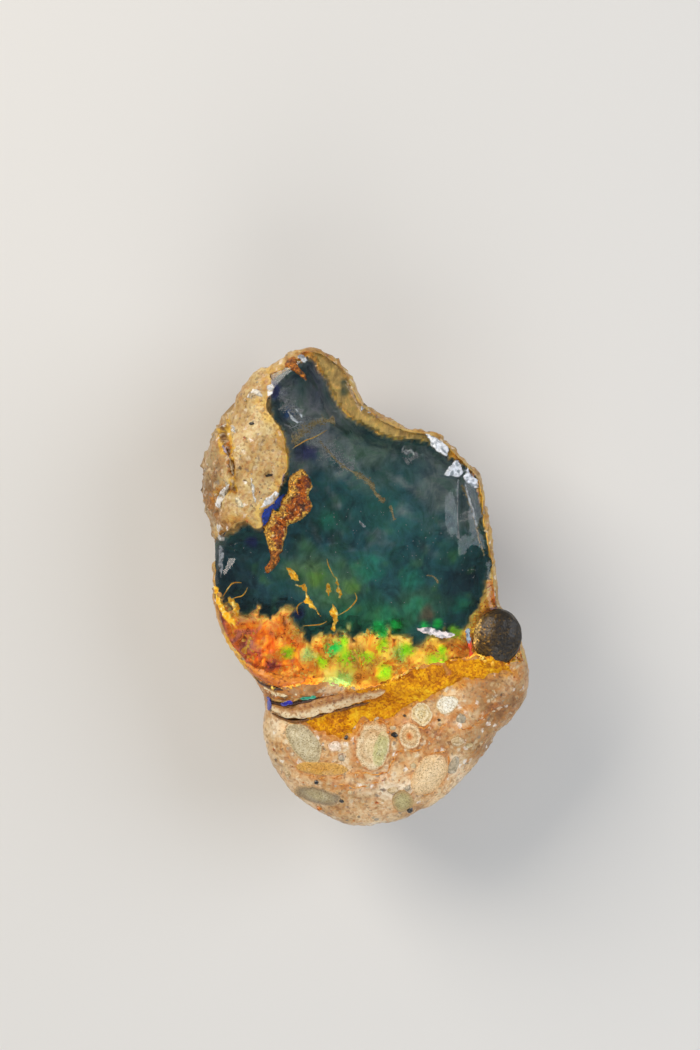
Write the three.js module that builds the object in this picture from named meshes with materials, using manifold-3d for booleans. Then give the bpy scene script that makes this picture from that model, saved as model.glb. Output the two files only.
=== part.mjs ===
import * as THREE from 'three';
import { mergeVertices } from 'three/addons/utils/BufferGeometryUtils.js';
import Module from 'manifold-3d';

// A rough opal nodule, broken open and lying on its back: opal and the rock that it
// grew in are one body. Millimetres, +Z up out of the opal window, +Y along the long
// side. The origin is on the surface that the stone rests on, under its middle.

const wasm = await Module();
wasm.setup();

const length = 50;
const width = 34.6;
const windowHeight = 18.2;
const windowCrown = 0.6;
const restCut = 1.4;
const backBulge = 2.4;
const flankRoughness = 0.75;
const flankLift = 0.35;
const reliefFade = 6;
const slabSide = 140;
const facetDetail = 20;
const outlineSamples = 720;

// The outline seen from above, clockwise from the north tip.
const outlinePoints = [
  [-6.1, 25.0], [-3.9, 24.5], [-1.7, 22.7], [-0.4, 19.9], [1.4, 18.3], [4.2, 16.9], [7.6, 16.1],
  [10.4, 13.8], [12.5, 11.4], [13.1, 7.4], [13.9, 3.2], [14.5, -1.6], [16.4, -4.6], [17.5, -8.6],
  [17.1, -11.9], [14.6, -15.0], [11.4, -19.2], [7.6, -22.7], [3.0, -24.6], [-2.1, -24.7],
  [-6.2, -22.4], [-9.1, -19.2], [-10.6, -15.2], [-10.5, -11.4], [-12.6, -8.1], [-14.9, -4.6],
  [-15.9, -0.6], [-16.1, 4.4], [-17.1, 8.6], [-17.4, 12.6], [-16.3, 16.3], [-13.9, 19.7],
  [-11.4, 22.6], [-8.6, 24.1],
];

// How far the window's plane comes down before it meets the flank, and over what part of
// the reach from the middle, by compass bearing: sharp at the east and north, round on the
// rock at the north-west and along the south.
const shoulders = [
  { bearing: -165, drop: 2.2, run: 0.1 },
  { bearing: -125, drop: 3.4, run: 0.18 },
  { bearing: -90, drop: 4.6, run: 0.24 },
  { bearing: -50, drop: 4.4, run: 0.22 },
  { bearing: -20, drop: 2.4, run: 0.12 },
  { bearing: 10, drop: 1.4, run: 0.08 },
  { bearing: 60, drop: 1.3, run: 0.08 },
  { bearing: 100, drop: 1.5, run: 0.08 },
  { bearing: 130, drop: 4.2, run: 0.24 },
  { bearing: 160, drop: 4.4, run: 0.26 },
  { bearing: 178, drop: 2.2, run: 0.1 },
];

// Swellings and hollows of the broken face.
const relief = [
  { x: -12.2, y: 13.6, reachX: 6.4, reachY: 9.6, rise: 1.9 }, // rock shoulder
  { x: -13.2, y: 7.4, reachX: 4.2, reachY: 4.6, rise: 1.0 }, // rock toe
  { x: -4.6, y: -9.9, reachX: 8.4, reachY: 2.6, rise: 0.9 }, // ledge
  { x: 2.0, y: -13.0, reachX: 9.6, reachY: 3.4, rise: -1.7 }, // amber hollow
  { x: 14.1, y: -5.8, reachX: 3.4, reachY: 3.8, rise: 1.7 }, // pebble
  { x: -1.0, y: -18.6, reachX: 11.0, reachY: 6.4, rise: 0.8 }, // rock belly
  { x: 11.2, y: 8.6, reachX: 3.2, reachY: 6.0, rise: -0.7 }, // east chip
  { x: -3.6, y: 15.4, reachX: 6.0, reachY: 6.6, rise: -0.4 }, // north-west dish
];

// Lumps of the rock flank: waves of a few lengths, each along its own direction.
const lumps = [
  { along: [0.83, 0.31, 0.46], wavelength: 13.0, share: 0.45 },
  { along: [-0.42, 0.79, 0.44], wavelength: 9.5, share: 0.3 },
  { along: [0.28, -0.61, 0.74], wavelength: 6.2, share: 0.25 },
  { along: [0.71, 0.66, -0.24], wavelength: 4.1, share: 0.2 },
];

function traceOutline() {
  const points = outlinePoints.map(([x, y]) => new THREE.Vector3(x, y, 0));
  const curve = new THREE.CatmullRomCurve3(points, true, 'centripetal');
  const reaches = curve.getPoints(outlineSamples).map((point) => ({
    angle: Math.atan2(point.y, point.x),
    reach: Math.hypot(point.x, point.y),
  }));
  return reaches.sort((a, b) => a.angle - b.angle);
}

const outline = traceOutline();

// Value of a list of stops at an angle, going round: stops are sorted by key.
function aroundAt(stops, key, angle, turn, blend) {
  const next = stops.findIndex((stop) => stop[key] > angle);
  const above = stops[next < 0 ? 0 : next];
  const below = stops[(next < 1 ? stops.length : next) - 1];
  const span = (above[key] - below[key] + turn) % turn;
  const part = span > 0 ? ((angle - below[key] + turn) % turn) / span : 0;
  return blend(below, above, part);
}

function reachAt(angle) {
  return aroundAt(outline, 'angle', angle, 2 * Math.PI, (below, above, part) =>
    THREE.MathUtils.lerp(below.reach, above.reach, part));
}

function shoulderAt(angle) {
  const bearing = THREE.MathUtils.radToDeg(angle);
  return aroundAt(shoulders, 'bearing', bearing, 360, (below, above, part) => {
    const eased = THREE.MathUtils.smoothstep(part, 0, 1);
    return {
      drop: THREE.MathUtils.lerp(below.drop, above.drop, eased),
      run: THREE.MathUtils.lerp(below.run, above.run, eased),
    };
  });
}

function lumpAt(point) {
  return lumps.reduce((sum, lump) => {
    const way = lump.along[0] * point.x + lump.along[1] * point.y + lump.along[2] * point.z;
    return sum + lump.share * Math.sin((2 * Math.PI * way) / lump.wavelength);
  }, 0);
}

function reliefAt(x, y) {
  return relief.reduce((sum, swell) => {
    const away = ((x - swell.x) / swell.reachX) ** 2 + ((y - swell.y) / swell.reachY) ** 2;
    return away < 1 ? sum + swell.rise * (1 - away) ** 2 : sum;
  }, 0);
}

// The face: part runs from 0 in the middle to 1 at the outline.
function facePoint(angle, part) {
  const reach = reachAt(angle) * part;
  const x = reach * Math.cos(angle);
  const y = reach * Math.sin(angle);
  const shoulder = shoulderAt(angle);
  const overEdge = Math.max(0, (part - 1 + shoulder.run) / shoulder.run);
  const fall = shoulder.drop * (1 - Math.sqrt(Math.max(0, 1 - overEdge ** 2)));
  const fade = 1 - part ** reliefFade;
  const z = windowHeight + windowCrown * (1 - part ** 2) + reliefAt(x, y) * fade - fall;
  return new THREE.Vector3(x, y, z);
}

// The flank and back: part runs from 0 at the outline to 1 under the middle.
function backPoint(angle, part) {
  const turn = (part * Math.PI) / 2;
  const rimHeight = windowHeight - shoulderAt(angle).drop;
  const power = 2 / backBulge;
  const reach = reachAt(angle) * Math.cos(turn) ** power;
  const z = rimHeight - (rimHeight + restCut) * Math.sin(turn) ** power;
  const point = new THREE.Vector3(reach * Math.cos(angle), reach * Math.sin(angle), z);
  const inward = new THREE.Vector3(-Math.cos(angle), -Math.sin(angle), flankLift);
  const depth = flankRoughness * Math.sin(2 * turn) * (1 + lumpAt(point));
  return point.addScaledVector(inward, depth);
}

function toSolid(geometry) {
  const bare = geometry.clone();
  bare.deleteAttribute('normal');
  bare.deleteAttribute('uv');
  const merged = mergeVertices(bare);
  return new wasm.Manifold(new wasm.Mesh({
    numProp: 3,
    vertProperties: new Float32Array(merged.attributes.position.array),
    triVerts: new Uint32Array(merged.index.array),
  }));
}

function toGeometry(solid) {
  const mesh = solid.getMesh();
  const geometry = new THREE.BufferGeometry();
  geometry.setAttribute('position', new THREE.BufferAttribute(mesh.vertProperties, 3));
  geometry.setIndex(new THREE.BufferAttribute(mesh.triVerts, 1));
  geometry.computeVertexNormals();
  return geometry;
}

// A ball whose upper half is pulled out into the face and whose lower half is the back.
function noduleGeometry() {
  const ball = new THREE.IcosahedronGeometry(1, facetDetail);
  const places = ball.attributes.position;
  const point = new THREE.Vector3();
  for (let i = 0; i < places.count; i += 1) {
    point.fromBufferAttribute(places, i).normalize();
    const angle = Math.atan2(point.y, point.x);
    const part = Math.acos(THREE.MathUtils.clamp(point.z, -1, 1)) / (Math.PI / 2);
    const moved = part <= 1 ? facePoint(angle, part) : backPoint(angle, part - 1);
    places.setXYZ(i, moved.x, moved.y, moved.z);
  }
  return ball;
}

// The back is cut flat at the height that the stone rests on, then the whole is brought
// to its size with its middle over the origin.
function opalStone() {
  const slab = new THREE.BoxGeometry(slabSide, slabSide, slabSide).translate(0, 0, slabSide / 2);
  const solid = toSolid(noduleGeometry()).intersect(toSolid(slab));
  const geometry = toGeometry(solid);
  geometry.computeBoundingBox();
  const box = geometry.boundingBox;
  const size = box.getSize(new THREE.Vector3());
  const middle = box.getCenter(new THREE.Vector3());
  geometry.translate(-middle.x, -middle.y, -box.min.z);
  geometry.scale(width / size.x, length / size.y, 1);
  const material = new THREE.MeshStandardMaterial({ color: '#3a5552', roughness: 0.15, metalness: 0 });
  const mesh = new THREE.Mesh(geometry, material);
  mesh.name = 'opal_stone';
  return mesh;
}

const group = new THREE.Group();
group.add(opalStone());

export default group;
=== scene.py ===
import math
import random
from functools import lru_cache

import bmesh
import bpy
from mathutils import Matrix, Quaternion, Vector, noise
from mathutils.bvhtree import BVHTree
from mathutils.kdtree import KDTree


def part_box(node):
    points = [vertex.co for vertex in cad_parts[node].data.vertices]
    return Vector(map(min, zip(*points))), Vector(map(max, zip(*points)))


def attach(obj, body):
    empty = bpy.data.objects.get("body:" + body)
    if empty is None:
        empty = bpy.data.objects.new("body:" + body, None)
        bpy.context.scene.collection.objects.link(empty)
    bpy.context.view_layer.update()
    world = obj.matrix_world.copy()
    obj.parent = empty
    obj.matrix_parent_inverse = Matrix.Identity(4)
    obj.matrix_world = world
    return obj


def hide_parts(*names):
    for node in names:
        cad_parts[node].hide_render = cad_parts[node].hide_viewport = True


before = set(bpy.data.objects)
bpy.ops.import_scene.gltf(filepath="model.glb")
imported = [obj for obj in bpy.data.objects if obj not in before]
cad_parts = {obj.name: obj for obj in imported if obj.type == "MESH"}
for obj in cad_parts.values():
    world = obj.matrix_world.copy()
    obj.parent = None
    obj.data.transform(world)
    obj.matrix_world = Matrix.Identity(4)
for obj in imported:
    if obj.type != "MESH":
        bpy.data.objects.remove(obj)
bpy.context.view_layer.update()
mm = 0.001
stoneLow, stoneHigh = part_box("opal_stone")
windowTop = stoneHigh.z / mm  # highest point of the stone, in mm
print("frame loaded")


def addObject(name, data):
    made = bpy.data.objects.new(name, data)
    bpy.context.scene.collection.objects.link(made)
    return made


# camera: straight down on the window, far off so that the edges don't lean

cameraSetup = {
    "viewHeight": 108.9,  # mm of the scene that the long side of the picture takes in
    "middle": (-1.4, 6.64),
    "distance": 320.0,
    "sensor": 36.0,
}


def makeCamera():
    data = bpy.data.cameras.new("camera")
    data.sensor_width = cameraSetup["sensor"]
    data.lens = cameraSetup["sensor"] * cameraSetup["distance"] / cameraSetup["viewHeight"]
    data.clip_start = 0.01
    camera = addObject("camera", data)
    x, y = cameraSetup["middle"]
    camera.location = Vector((x, y, windowTop + cameraSetup["distance"])) * mm
    bpy.context.scene.camera = camera


makeCamera()


# small helpers

white = (1.0, 1.0, 1.0, 1.0)
black = (0.0, 0.0, 0.0, 1.0)


@lru_cache(maxsize=None)
def paint(hexText, alpha=1.0):
    values = [int(hexText[i:i + 2], 16) / 255 for i in (1, 3, 5)]
    linear = [v / 12.92 if v <= 0.04045 else ((v + 0.055) / 1.055) ** 2.4 for v in values]
    return (*linear, alpha)


def mixPaint(first, second, part):
    part = min(1.0, max(0.0, part))
    return tuple(a + (b - a) * part for a, b in zip(first, second))


def ease(value, low, high):
    part = min(1.0, max(0.0, (value - low) / (high - low)))
    return part * part * (3 - 2 * part)


def wave(x, y, length, seed=0.0):
    return noise.noise(Vector((x / length, y / length, seed)))


def addNode(tree, kind, inputs=None, **settings):
    # an input takes a value or another node's output
    node = tree.nodes.new(kind)
    for name, value in settings.items():
        setattr(node, name, value)
    for name, value in (inputs or {}).items():
        if isinstance(value, bpy.types.NodeSocket):
            tree.links.new(value, node.inputs[name])
        else:
            node.inputs[name].default_value = value
    return node


def startMaterial(name):
    material = bpy.data.materials.new(name)
    material.use_nodes = True
    tree = material.node_tree
    tree.nodes.clear()
    return material, tree


def rampNode(tree, source, stops, **settings):
    # each stop is a place and a colour, as hex text or as values
    ramp = addNode(tree, "ShaderNodeValToRGB", {"Fac": source})
    for name, value in settings.items():
        setattr(ramp.color_ramp, name, value)
    elements = ramp.color_ramp.elements
    while len(elements) < len(stops):
        elements.new(0.5)
    for element, (place, colour) in zip(elements, stops):
        element.position = place
        element.color = paint(colour) if isinstance(colour, str) else colour
    return ramp.outputs["Color"]


def placeNode(tree):
    return addNode(tree, "ShaderNodeTexCoord").outputs["Object"]


def tintNode(tree, attribute):
    return addNode(tree, "ShaderNodeAttribute", attribute_name=attribute).outputs


def cellNodes(tree, place, size):
    # cells about this many mm across: distance from their middles, and random values for each
    cells = addNode(tree, "ShaderNodeTexVoronoi", {"Scale": 1 / (size * mm), "Vector": place})
    pick = addNode(tree, "ShaderNodeSeparateColor", {"Color": cells.outputs["Color"]})
    return cells.outputs["Distance"], pick.outputs


def mathNode(tree, operation, *values):
    return addNode(tree, "ShaderNodeMath", dict(enumerate(values)), operation=operation).outputs[0]


def bumpNode(tree, height, strength, depth):
    return addNode(tree, "ShaderNodeBump", {
        "Strength": strength, "Distance": depth * mm, "Height": height}).outputs["Normal"]


def finishMaterial(tree, inputs, **ends):
    shader = addNode(tree, "ShaderNodeBsdfPrincipled", inputs)
    addNode(tree, "ShaderNodeOutputMaterial", {"Surface": shader.outputs["BSDF"], **ends})


def makeMesh(name, bm, materials):
    mesh = bpy.data.meshes.new(name)
    bm.to_mesh(mesh)
    bm.free()
    for material in materials:
        mesh.materials.append(material)
    return mesh


def finishPiece(name, bm, materials, slot, smooth=True):
    mesh = makeMesh(name, bm, materials)
    mesh.polygons.foreach_set("use_smooth", [smooth] * len(mesh.polygons))
    piece = addObject(name, mesh)
    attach(piece, "root")
    return piece


# zones of the broken face, in mm from the stone's middle, seen from above

def curvePoint(a, b, c, d, t):
    # a place between b and c on the smooth curve through all four
    return tuple(
        0.5 * (2 * b[k] + (c[k] - a[k]) * t + (2 * a[k] - 5 * b[k] + 4 * c[k] - d[k]) * t * t
               + (3 * b[k] - a[k] - 3 * c[k] + d[k]) * t ** 3)
        for k in (0, 1))


def smoothLoop(points, steps=5):
    count = len(points)
    return [curvePoint(*(points[(i + k) % count] for k in (-1, 0, 1, 2)), step / steps)
            for i in range(count) for step in range(steps)]


def smoothLine(points, steps):
    # an open smooth line: the ends are held by repeating them
    padded = [points[0], *points, points[-1]]
    return [curvePoint(*padded[i:i + 4], step / steps)
            for i in range(len(points) - 1) for step in range(steps)] + [points[-1]]


def pointOn(line, part):
    # place and direction at a part of the line
    spot = min(max(part, 0.0), 1.0) * (len(line) - 1)
    index = min(int(spot), len(line) - 2)
    (ax, ay), (bx, by) = line[index], line[index + 1]
    reach = math.hypot(bx - ax, by - ay)
    t = spot - index
    return ax + (bx - ax) * t, ay + (by - ay) * t, (bx - ax) / reach, (by - ay) / reach


def pointTree(points):
    tree = KDTree(len(points))
    for i, (x, y) in enumerate(points):
        tree.insert((x, y, 0), i)
    tree.balance()
    return tree


def makeZone(loop):
    area = sum(a[0] * b[1] - b[0] * a[1] for a, b in zip(loop, loop[1:] + loop[:1]))
    return {"loop": loop, "tree": pointTree(loop), "turn": 1 if area > 0 else -1}


def inset(zone, x, y):
    # distance to the zone's edge in mm, over zero inside it
    place, index, away = zone["tree"].find((x, y, 0))
    before = zone["loop"][index - 1]
    after = zone["loop"][(index + 1) % len(zone["loop"])]
    side = (after[0] - before[0]) * (y - place.y) - (after[1] - before[1]) * (x - place.x)
    return away if side * zone["turn"] > 0 else -away


darkWindow = makeZone(smoothLoop([
    (-15.3, 4.6), (-13.8, 5.6), (-12.1, 6.5), (-10.6, 6.2), (-9.6, 8.4), (-8.1, 11.2), (-7.7, 13.8),
    (-8.4, 16.4), (-9.5, 18.4), (-9.2, 21.4), (-7.4, 23.0), (-5.7, 23.9), (-4.5, 22.6), (-3.6, 20.8),
    (-2.7, 19.1), (-1.4, 17.8), (0.7, 16.6), (3.0, 15.6), (6.4, 15.2), (9.6, 13.2), (11.5, 10.8),
    (12.4, 7.2), (13.1, 3.0), (12.9, 1.2), (12.4, -0.8), (11.7, -2.3), (10.7, -3.7), (9.2, -4.7),
    (6.7, -5.3), (5.2, -5.7), (3.8, -5.3), (3.0, -4.6), (1.4, -4.5), (0.2, -4.9), (-0.7, -5.2),
    (-1.8, -4.5), (-2.7, -5.0), (-3.6, -4.5), (-4.9, -5.4), (-6.1, -5.0), (-6.7, -3.8), (-7.4, -2.7),
    (-8.7, -2.6), (-9.7, -3.2), (-10.8, -2.5), (-12.8, -2.5), (-14.0, -1.6), (-15.1, 0.6), (-15.5, 2.8),
]))
rockPatch = makeZone(smoothLoop([
    (-6.2, 25.4), (-7.2, 23.6), (-8.4, 22.9), (-9.7, 22.3), (-9.5, 20.7), (-10.0, 19.8), (-10.1, 18.7),
    (-9.4, 17.6), (-8.7, 16.5), (-8.2, 15.1), (-8.0, 13.7), (-8.0, 12.4), (-8.6, 11.1), (-9.0, 9.5),
    (-10.0, 8.6), (-10.8, 7.7), (-10.5, 6.6), (-11.3, 6.4), (-12.2, 7.0), (-13.3, 6.9), (-14.2, 6.0),
    (-15.1, 5.5), (-16.4, 4.9), (-19.0, 6.0), (-20.0, 14.0), (-17.5, 21.0), (-12.0, 26.0), (-8.0, 27.0),
]))
southRim = makeZone(smoothLoop([  # south of this line no opal covers the rock
    (-14.5, -8.8), (-11.8, -9.3), (-10.0, -10.0), (-8.0, -10.2), (-5.0, -10.0), (-3.4, -9.8),
    (-1.4, -10.3), (1.0, -10.3), (2.6, -9.9), (3.4, -9.2), (6.4, -7.9), (10.5, -7.4), (12.2, -7.0),
    (14.0, -7.8), (19.0, -8.5), (19.5, -16.0), (10.0, -27.0), (-8.0, -27.0), (-15.5, -18.0),
]))
amberHollow = makeZone(smoothLoop([
    (-7.6, -12.6), (-4.2, -11.6), (-1.1, -10.6), (2.3, -9.6), (3.0, -9.2), (6.4, -7.8), (10.5, -7.2),
    (12.8, -6.9), (15.2, -7.9), (16.2, -9.0), (14.0, -8.9), (11.9, -9.5), (9.5, -10.0), (7.8, -11.0),
    (5.4, -12.0), (4.2, -13.0), (2.3, -14.1), (-0.3, -14.0), (-1.2, -15.4), (-3.0, -15.6),
    (-4.7, -14.9), (-6.4, -14.2),
]))
tanBand = makeZone(smoothLoop([
    (-5.2, 24.4), (-4.3, 22.8), (-3.4, 21.0), (-2.5, 19.3), (-1.2, 18.0), (0.7, 16.8), (3.0, 15.8),
    (6.4, 15.3), (9.0, 14.4), (9.0, 17.5), (3.0, 19.0), (0.5, 22.0), (-2.0, 25.5), (-6.0, 26.5),
]))


# the stone's own outer surface, merged from the frame's loose triangles

def copyStone():
    bm = bmesh.new()
    bm.from_mesh(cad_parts["opal_stone"].data)
    bmesh.ops.remove_doubles(bm, verts=bm.verts, dist=0.001 * mm)
    return bm


def splitEdges(bm, edges):
    bmesh.ops.subdivide_edges(bm, edges=edges, cuts=1, use_grid_fill=True, smooth=1.0)


def fineStone(fineFrom):
    # the stone in smaller facets, and smaller again over this height, in mm
    bm = copyStone()
    splitEdges(bm, bm.edges)
    splitEdges(bm, [e for e in bm.edges if min(v.co.z for v in e.verts) > fineFrom * mm])
    bmesh.ops.triangulate(bm, faces=[f for f in bm.faces if len(f.verts) > 4])
    return bm


def surfaceTree(bm):
    tree = BVHTree.FromBMesh(bm)
    bm.free()
    return tree


rayStart = 80  # mm over the stone, from where its surfaces are sought


def heightOn(tree, x, y):
    # height of a surface over a point, in mm, or None beside it
    above = Vector((x, y, windowTop + rayStart)) * mm
    hit = tree.ray_cast(above, Vector((0, 0, -1)))[0]
    return hit.z / mm if hit else None


smoothStone = copyStone()
splitEdges(smoothStone, smoothStone.edges)
stoneTree = surfaceTree(smoothStone)


def topAt(x, y):
    return heightOn(stoneTree, x, y)


def traceOutline(count=720):
    loop = []
    for i in range(count):
        angle = 2 * math.pi * i / count
        near, far = 0.0, 30.0
        for _ in range(12):
            middle = (near + far) / 2
            if topAt(middle * math.cos(angle), middle * math.sin(angle)) is None:
                far = middle
            else:
                near = middle
        loop.append((near * math.cos(angle), near * math.sin(angle)))
    return loop


outline = makeZone(traceOutline())
print("zones traced")


# wall between the opal and its rock: a height under the face for every place

wallShape = {
    "cell": 0.26,  # mm between points of the wall
    "deep": 6.6,
    "deepSwing": 1.5,
    "shelf": 1.2,
    "shelfSwing": 0.9,
    "band": 0.8,
    "steep": 4.2,  # mm down for each mm in from the window's edge
    "rimWidth": 0.42,
    "rimSlope": 8.0,
    "patchSlope": 9.0,
    "southSlope": 1.3,
    "seat": 0.16,  # the opal's back reaches this far into the rock
    "margin": 3,  # mm that the cutting block is longer and wider than the stone
    "beside": 2,  # mm over the stone where there is no stone underneath
    "lid": 6,  # mm over the stone at the block's top
}


def domeAt(x, y):
    # 1 on the domes of the crust that grew on the rock, 0 in the creases between them
    bend, sway = 0.5 * wave(x, y, 1.2, 5.0), 0.5 * wave(x, y, 1.2, 5.5)
    near, far = noise.voronoi(Vector((x / 2.1 + bend, y / 2.1 + sway, 0)))[0][:2]
    return ease(far - near, 0.0, 0.5)


def windowEdge(x, y):
    # distance inside the clear dark window in mm; the crust's domes bulge into it
    bulge = 0.9 * (0.5 - domeAt(x, y)) * ease(-y, 0.0, 2.0)
    return inset(darkWindow, x, y) + 0.25 * wave(x, y, 1.3) + 0.14 * wave(x, y, 0.5, 3.0) + bulge


def opalDepth(x, y):
    ragged = 0.3 * wave(x, y, 1.3) + 0.2 * wave(x, y, 0.6, 3.0)
    rim = inset(outline, x, y)
    dark = windowEdge(x, y)
    lobes = 1.2 * domeAt(x, y) + 0.8 * wave(x, y, 2.6, 7.0) + 0.3 * wave(x, y, 0.6, 9.0)
    shelf = wallShape["shelf"] - wallShape["shelfSwing"] * (lobes - 0.6)
    inBand = ease(inset(tanBand, x, y), -0.2, 0.2)
    shelf += (wallShape["band"] + 0.3 * wave(x, y, 1.1, 6.0) - shelf) * inBand
    deep = wallShape["deep"] + wallShape["deepSwing"] * wave(x, y, 5.0, 2.0)
    deep += 0.35 * wave(x, y, 1.4, 4.0) + 0.12 * wave(x, y, 0.5, 4.5)
    depth = shelf + min(deep - shelf, max(0.0, dark) * wallShape["steep"])
    limits = [
        depth,
        (rim - wallShape["rimWidth"] * (1 + 0.8 * ragged)) * wallShape["rimSlope"],
        (-inset(rockPatch, x, y) + 0.6 * ragged) * wallShape["patchSlope"],
        (-inset(southRim, x, y) + 0.5 * ragged - 0.1) * wallShape["southSlope"],
    ]
    return max(-1.5, min(limits))


def extrudeFaces(bm, faces):
    # pulls a copy of the faces out of themselves and gives the copy's corners
    made = bmesh.ops.extrude_face_region(bm, geom=faces)["geom"]
    return [v for v in made if isinstance(v, bmesh.types.BMVert)]


def makeWallBlock(name, seat, materials):
    # a block whose underside is the wall; it reaches from there to above the face
    cell = wallShape["cell"]
    width = (stoneHigh.x - stoneLow.x) / mm + wallShape["margin"]
    length = (stoneHigh.y - stoneLow.y) / mm + wallShape["margin"]
    bm = bmesh.new()
    bmesh.ops.create_grid(bm, x_segments=round(width / cell), y_segments=round(length / cell), size=0.5)
    for v in bm.verts:
        x, y = v.co.x * width, v.co.y * length
        top = topAt(x, y)
        z = windowTop + wallShape["beside"] if top is None else top - opalDepth(x, y) - seat
        v.co = Vector((x, y, z)) * mm
    for v in extrudeFaces(bm, bm.faces[:]):
        v.co.z = (windowTop + wallShape["lid"]) * mm
    bmesh.ops.recalc_face_normals(bm, faces=bm.faces)
    for face in bm.faces:
        face.material_index = len(materials) - 1
    return addObject(name, makeMesh(name, bm, materials))


def cutPiece(piece, block, operation):
    cut = piece.modifiers.new("cut", "BOOLEAN")
    cut.object = block
    cut.operation = operation
    cut.solver = "EXACT"
    cut.material_mode = "INDEX"
    graph = bpy.context.evaluated_depsgraph_get()
    made = bpy.data.meshes.new_from_object(piece.evaluated_get(graph))
    piece.modifiers.clear()
    old = piece.data
    name = old.name
    piece.data = made
    bpy.data.meshes.remove(old)
    made.name = name
    bpy.data.objects.remove(block)


# materials

def objectNoise(tree, vector, size, detail=4.0, roughness=0.6, distortion=0.0):
    # noise whose blotches are about this many mm across
    return addNode(tree, "ShaderNodeTexNoise", {
        "Scale": 1 / (size * mm), "Detail": detail, "Roughness": roughness,
        "Distortion": distortion, "Vector": vector}).outputs[0]


def blend(tree, first, second, factor, mode="MIX"):
    return addNode(tree, "ShaderNodeMix", {"Factor": factor, "A": first, "B": second},
                   data_type="RGBA", blend_type=mode).outputs["Result"]


def makeOpalMaterial():
    # hydrous precious opal, broken and wet: clear, a little blue-green in its depth
    material, tree = startMaterial("preciousOpalClear")
    ripple = objectNoise(tree, placeNode(tree), 2.6, 4.0, 0.55)
    depth = addNode(tree, "ShaderNodeVolumeAbsorption", {"Color": paint("#9cc8c6"), "Density": 40.0})
    finishMaterial(tree, {
        "Base Color": white, "Roughness": 0.03, "IOR": 1.45, "Transmission Weight": 1.0,
        "Normal": bumpNode(tree, ripple, 0.2, 0.06)}, Volume=depth.outputs["Volume"])
    return material


tuffLooks = {
    "patch": 4.5,  # mm, blotches of lighter and redder rock
    "crystal": 0.62,  # mm, larger crystals and glass shards
    "ragged": 0.9,  # mm, how far the crystals' outlines are pulled about
    "grit": 0.26,  # mm, fine ash; real ash is finer and wouldn't show
    "vein": 2.6,
}


def makeTuffMaterial():
    # ash tuff with crystals, broken and partly ground: grainy, with a wet shine here and there
    material, tree = startMaterial("weldedTuffBroken")
    place, tint = placeNode(tree), tintNode(tree, "rockTint")
    patches = rampNode(tree, objectNoise(tree, place, tuffLooks["patch"], 5.0), [
        (0.34, "#b89468"), (0.45, "#e2cfae"), (0.54, white), (0.68, (1.2, 1.22, 1.28, 1))])
    colour = blend(tree, tint["Color"], patches, 0.9, "MULTIPLY")
    ragged = addNode(tree, "ShaderNodeTexNoise", {
        "Scale": 1 / (tuffLooks["crystal"] * mm), "Detail": 3.0, "Roughness": 0.7, "Vector": place})
    shifted = addNode(tree, "ShaderNodeVectorMath", {
        0: ragged.outputs["Color"], 1: (tuffLooks["ragged"] * mm,) * 3, 2: place},
        operation="MULTIPLY_ADD")
    away, pick = cellNodes(tree, shifted.outputs["Vector"], tuffLooks["crystal"])
    crystalPaint = rampNode(tree, pick["Red"], [
        (0.0, "#3a2c20"), (0.03, "#8a8072"), (0.1, "#b08a54"), (0.2, "#c8a878"), (0.45, "#dcc49a"),
        (0.7, "#e8d8b8"), (0.9, "#fffbf0")], interpolation="CONSTANT")
    mask = mathNode(tree, "MULTIPLY", rampNode(tree, away, [(0.28, white), (0.52, black)]),
                    rampNode(tree, pick["Green"], [(0.4, black), (0.5, white)]))
    colour = blend(tree, colour, crystalPaint, mathNode(tree, "MULTIPLY", mask, 0.75))
    gritAway, gritPick = cellNodes(tree, place, tuffLooks["grit"])
    gritPaint = rampNode(tree, gritPick["Blue"], [
        (0.0, "#5a4636"), (0.06, "#b08660"), (0.25, "#e2cbb0"), (0.6, white)])
    colour = blend(tree, colour, gritPaint, 0.55, "MULTIPLY")
    vein = objectNoise(tree, place, tuffLooks["vein"], 6.0, 0.7, 0.6)
    veinLine = rampNode(tree, vein, [(0.465, black), (0.5, white), (0.535, black)])
    colour = blend(tree, colour, paint("#cc7a20"), mathNode(tree, "MULTIPLY", veinLine, tint["Alpha"]))
    height = mathNode(tree, "MULTIPLY_ADD", gritAway, 0.4, away)
    fine = mathNode(tree, "ADD", height, objectNoise(tree, place, 0.5, 5.0, 0.7))
    rough = rampNode(tree, pick["Blue"], [(0.2, (0.32, 0.32, 0.32, 1)), (0.9, (0.62, 0.62, 0.62, 1))])
    finishMaterial(tree, {
        "Base Color": colour, "Roughness": rough, "IOR": 1.5, "Coat Weight": 0.22,
        "Coat Roughness": 0.15, "Normal": bumpNode(tree, fine, 0.55, 0.16)})
    return material


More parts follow.
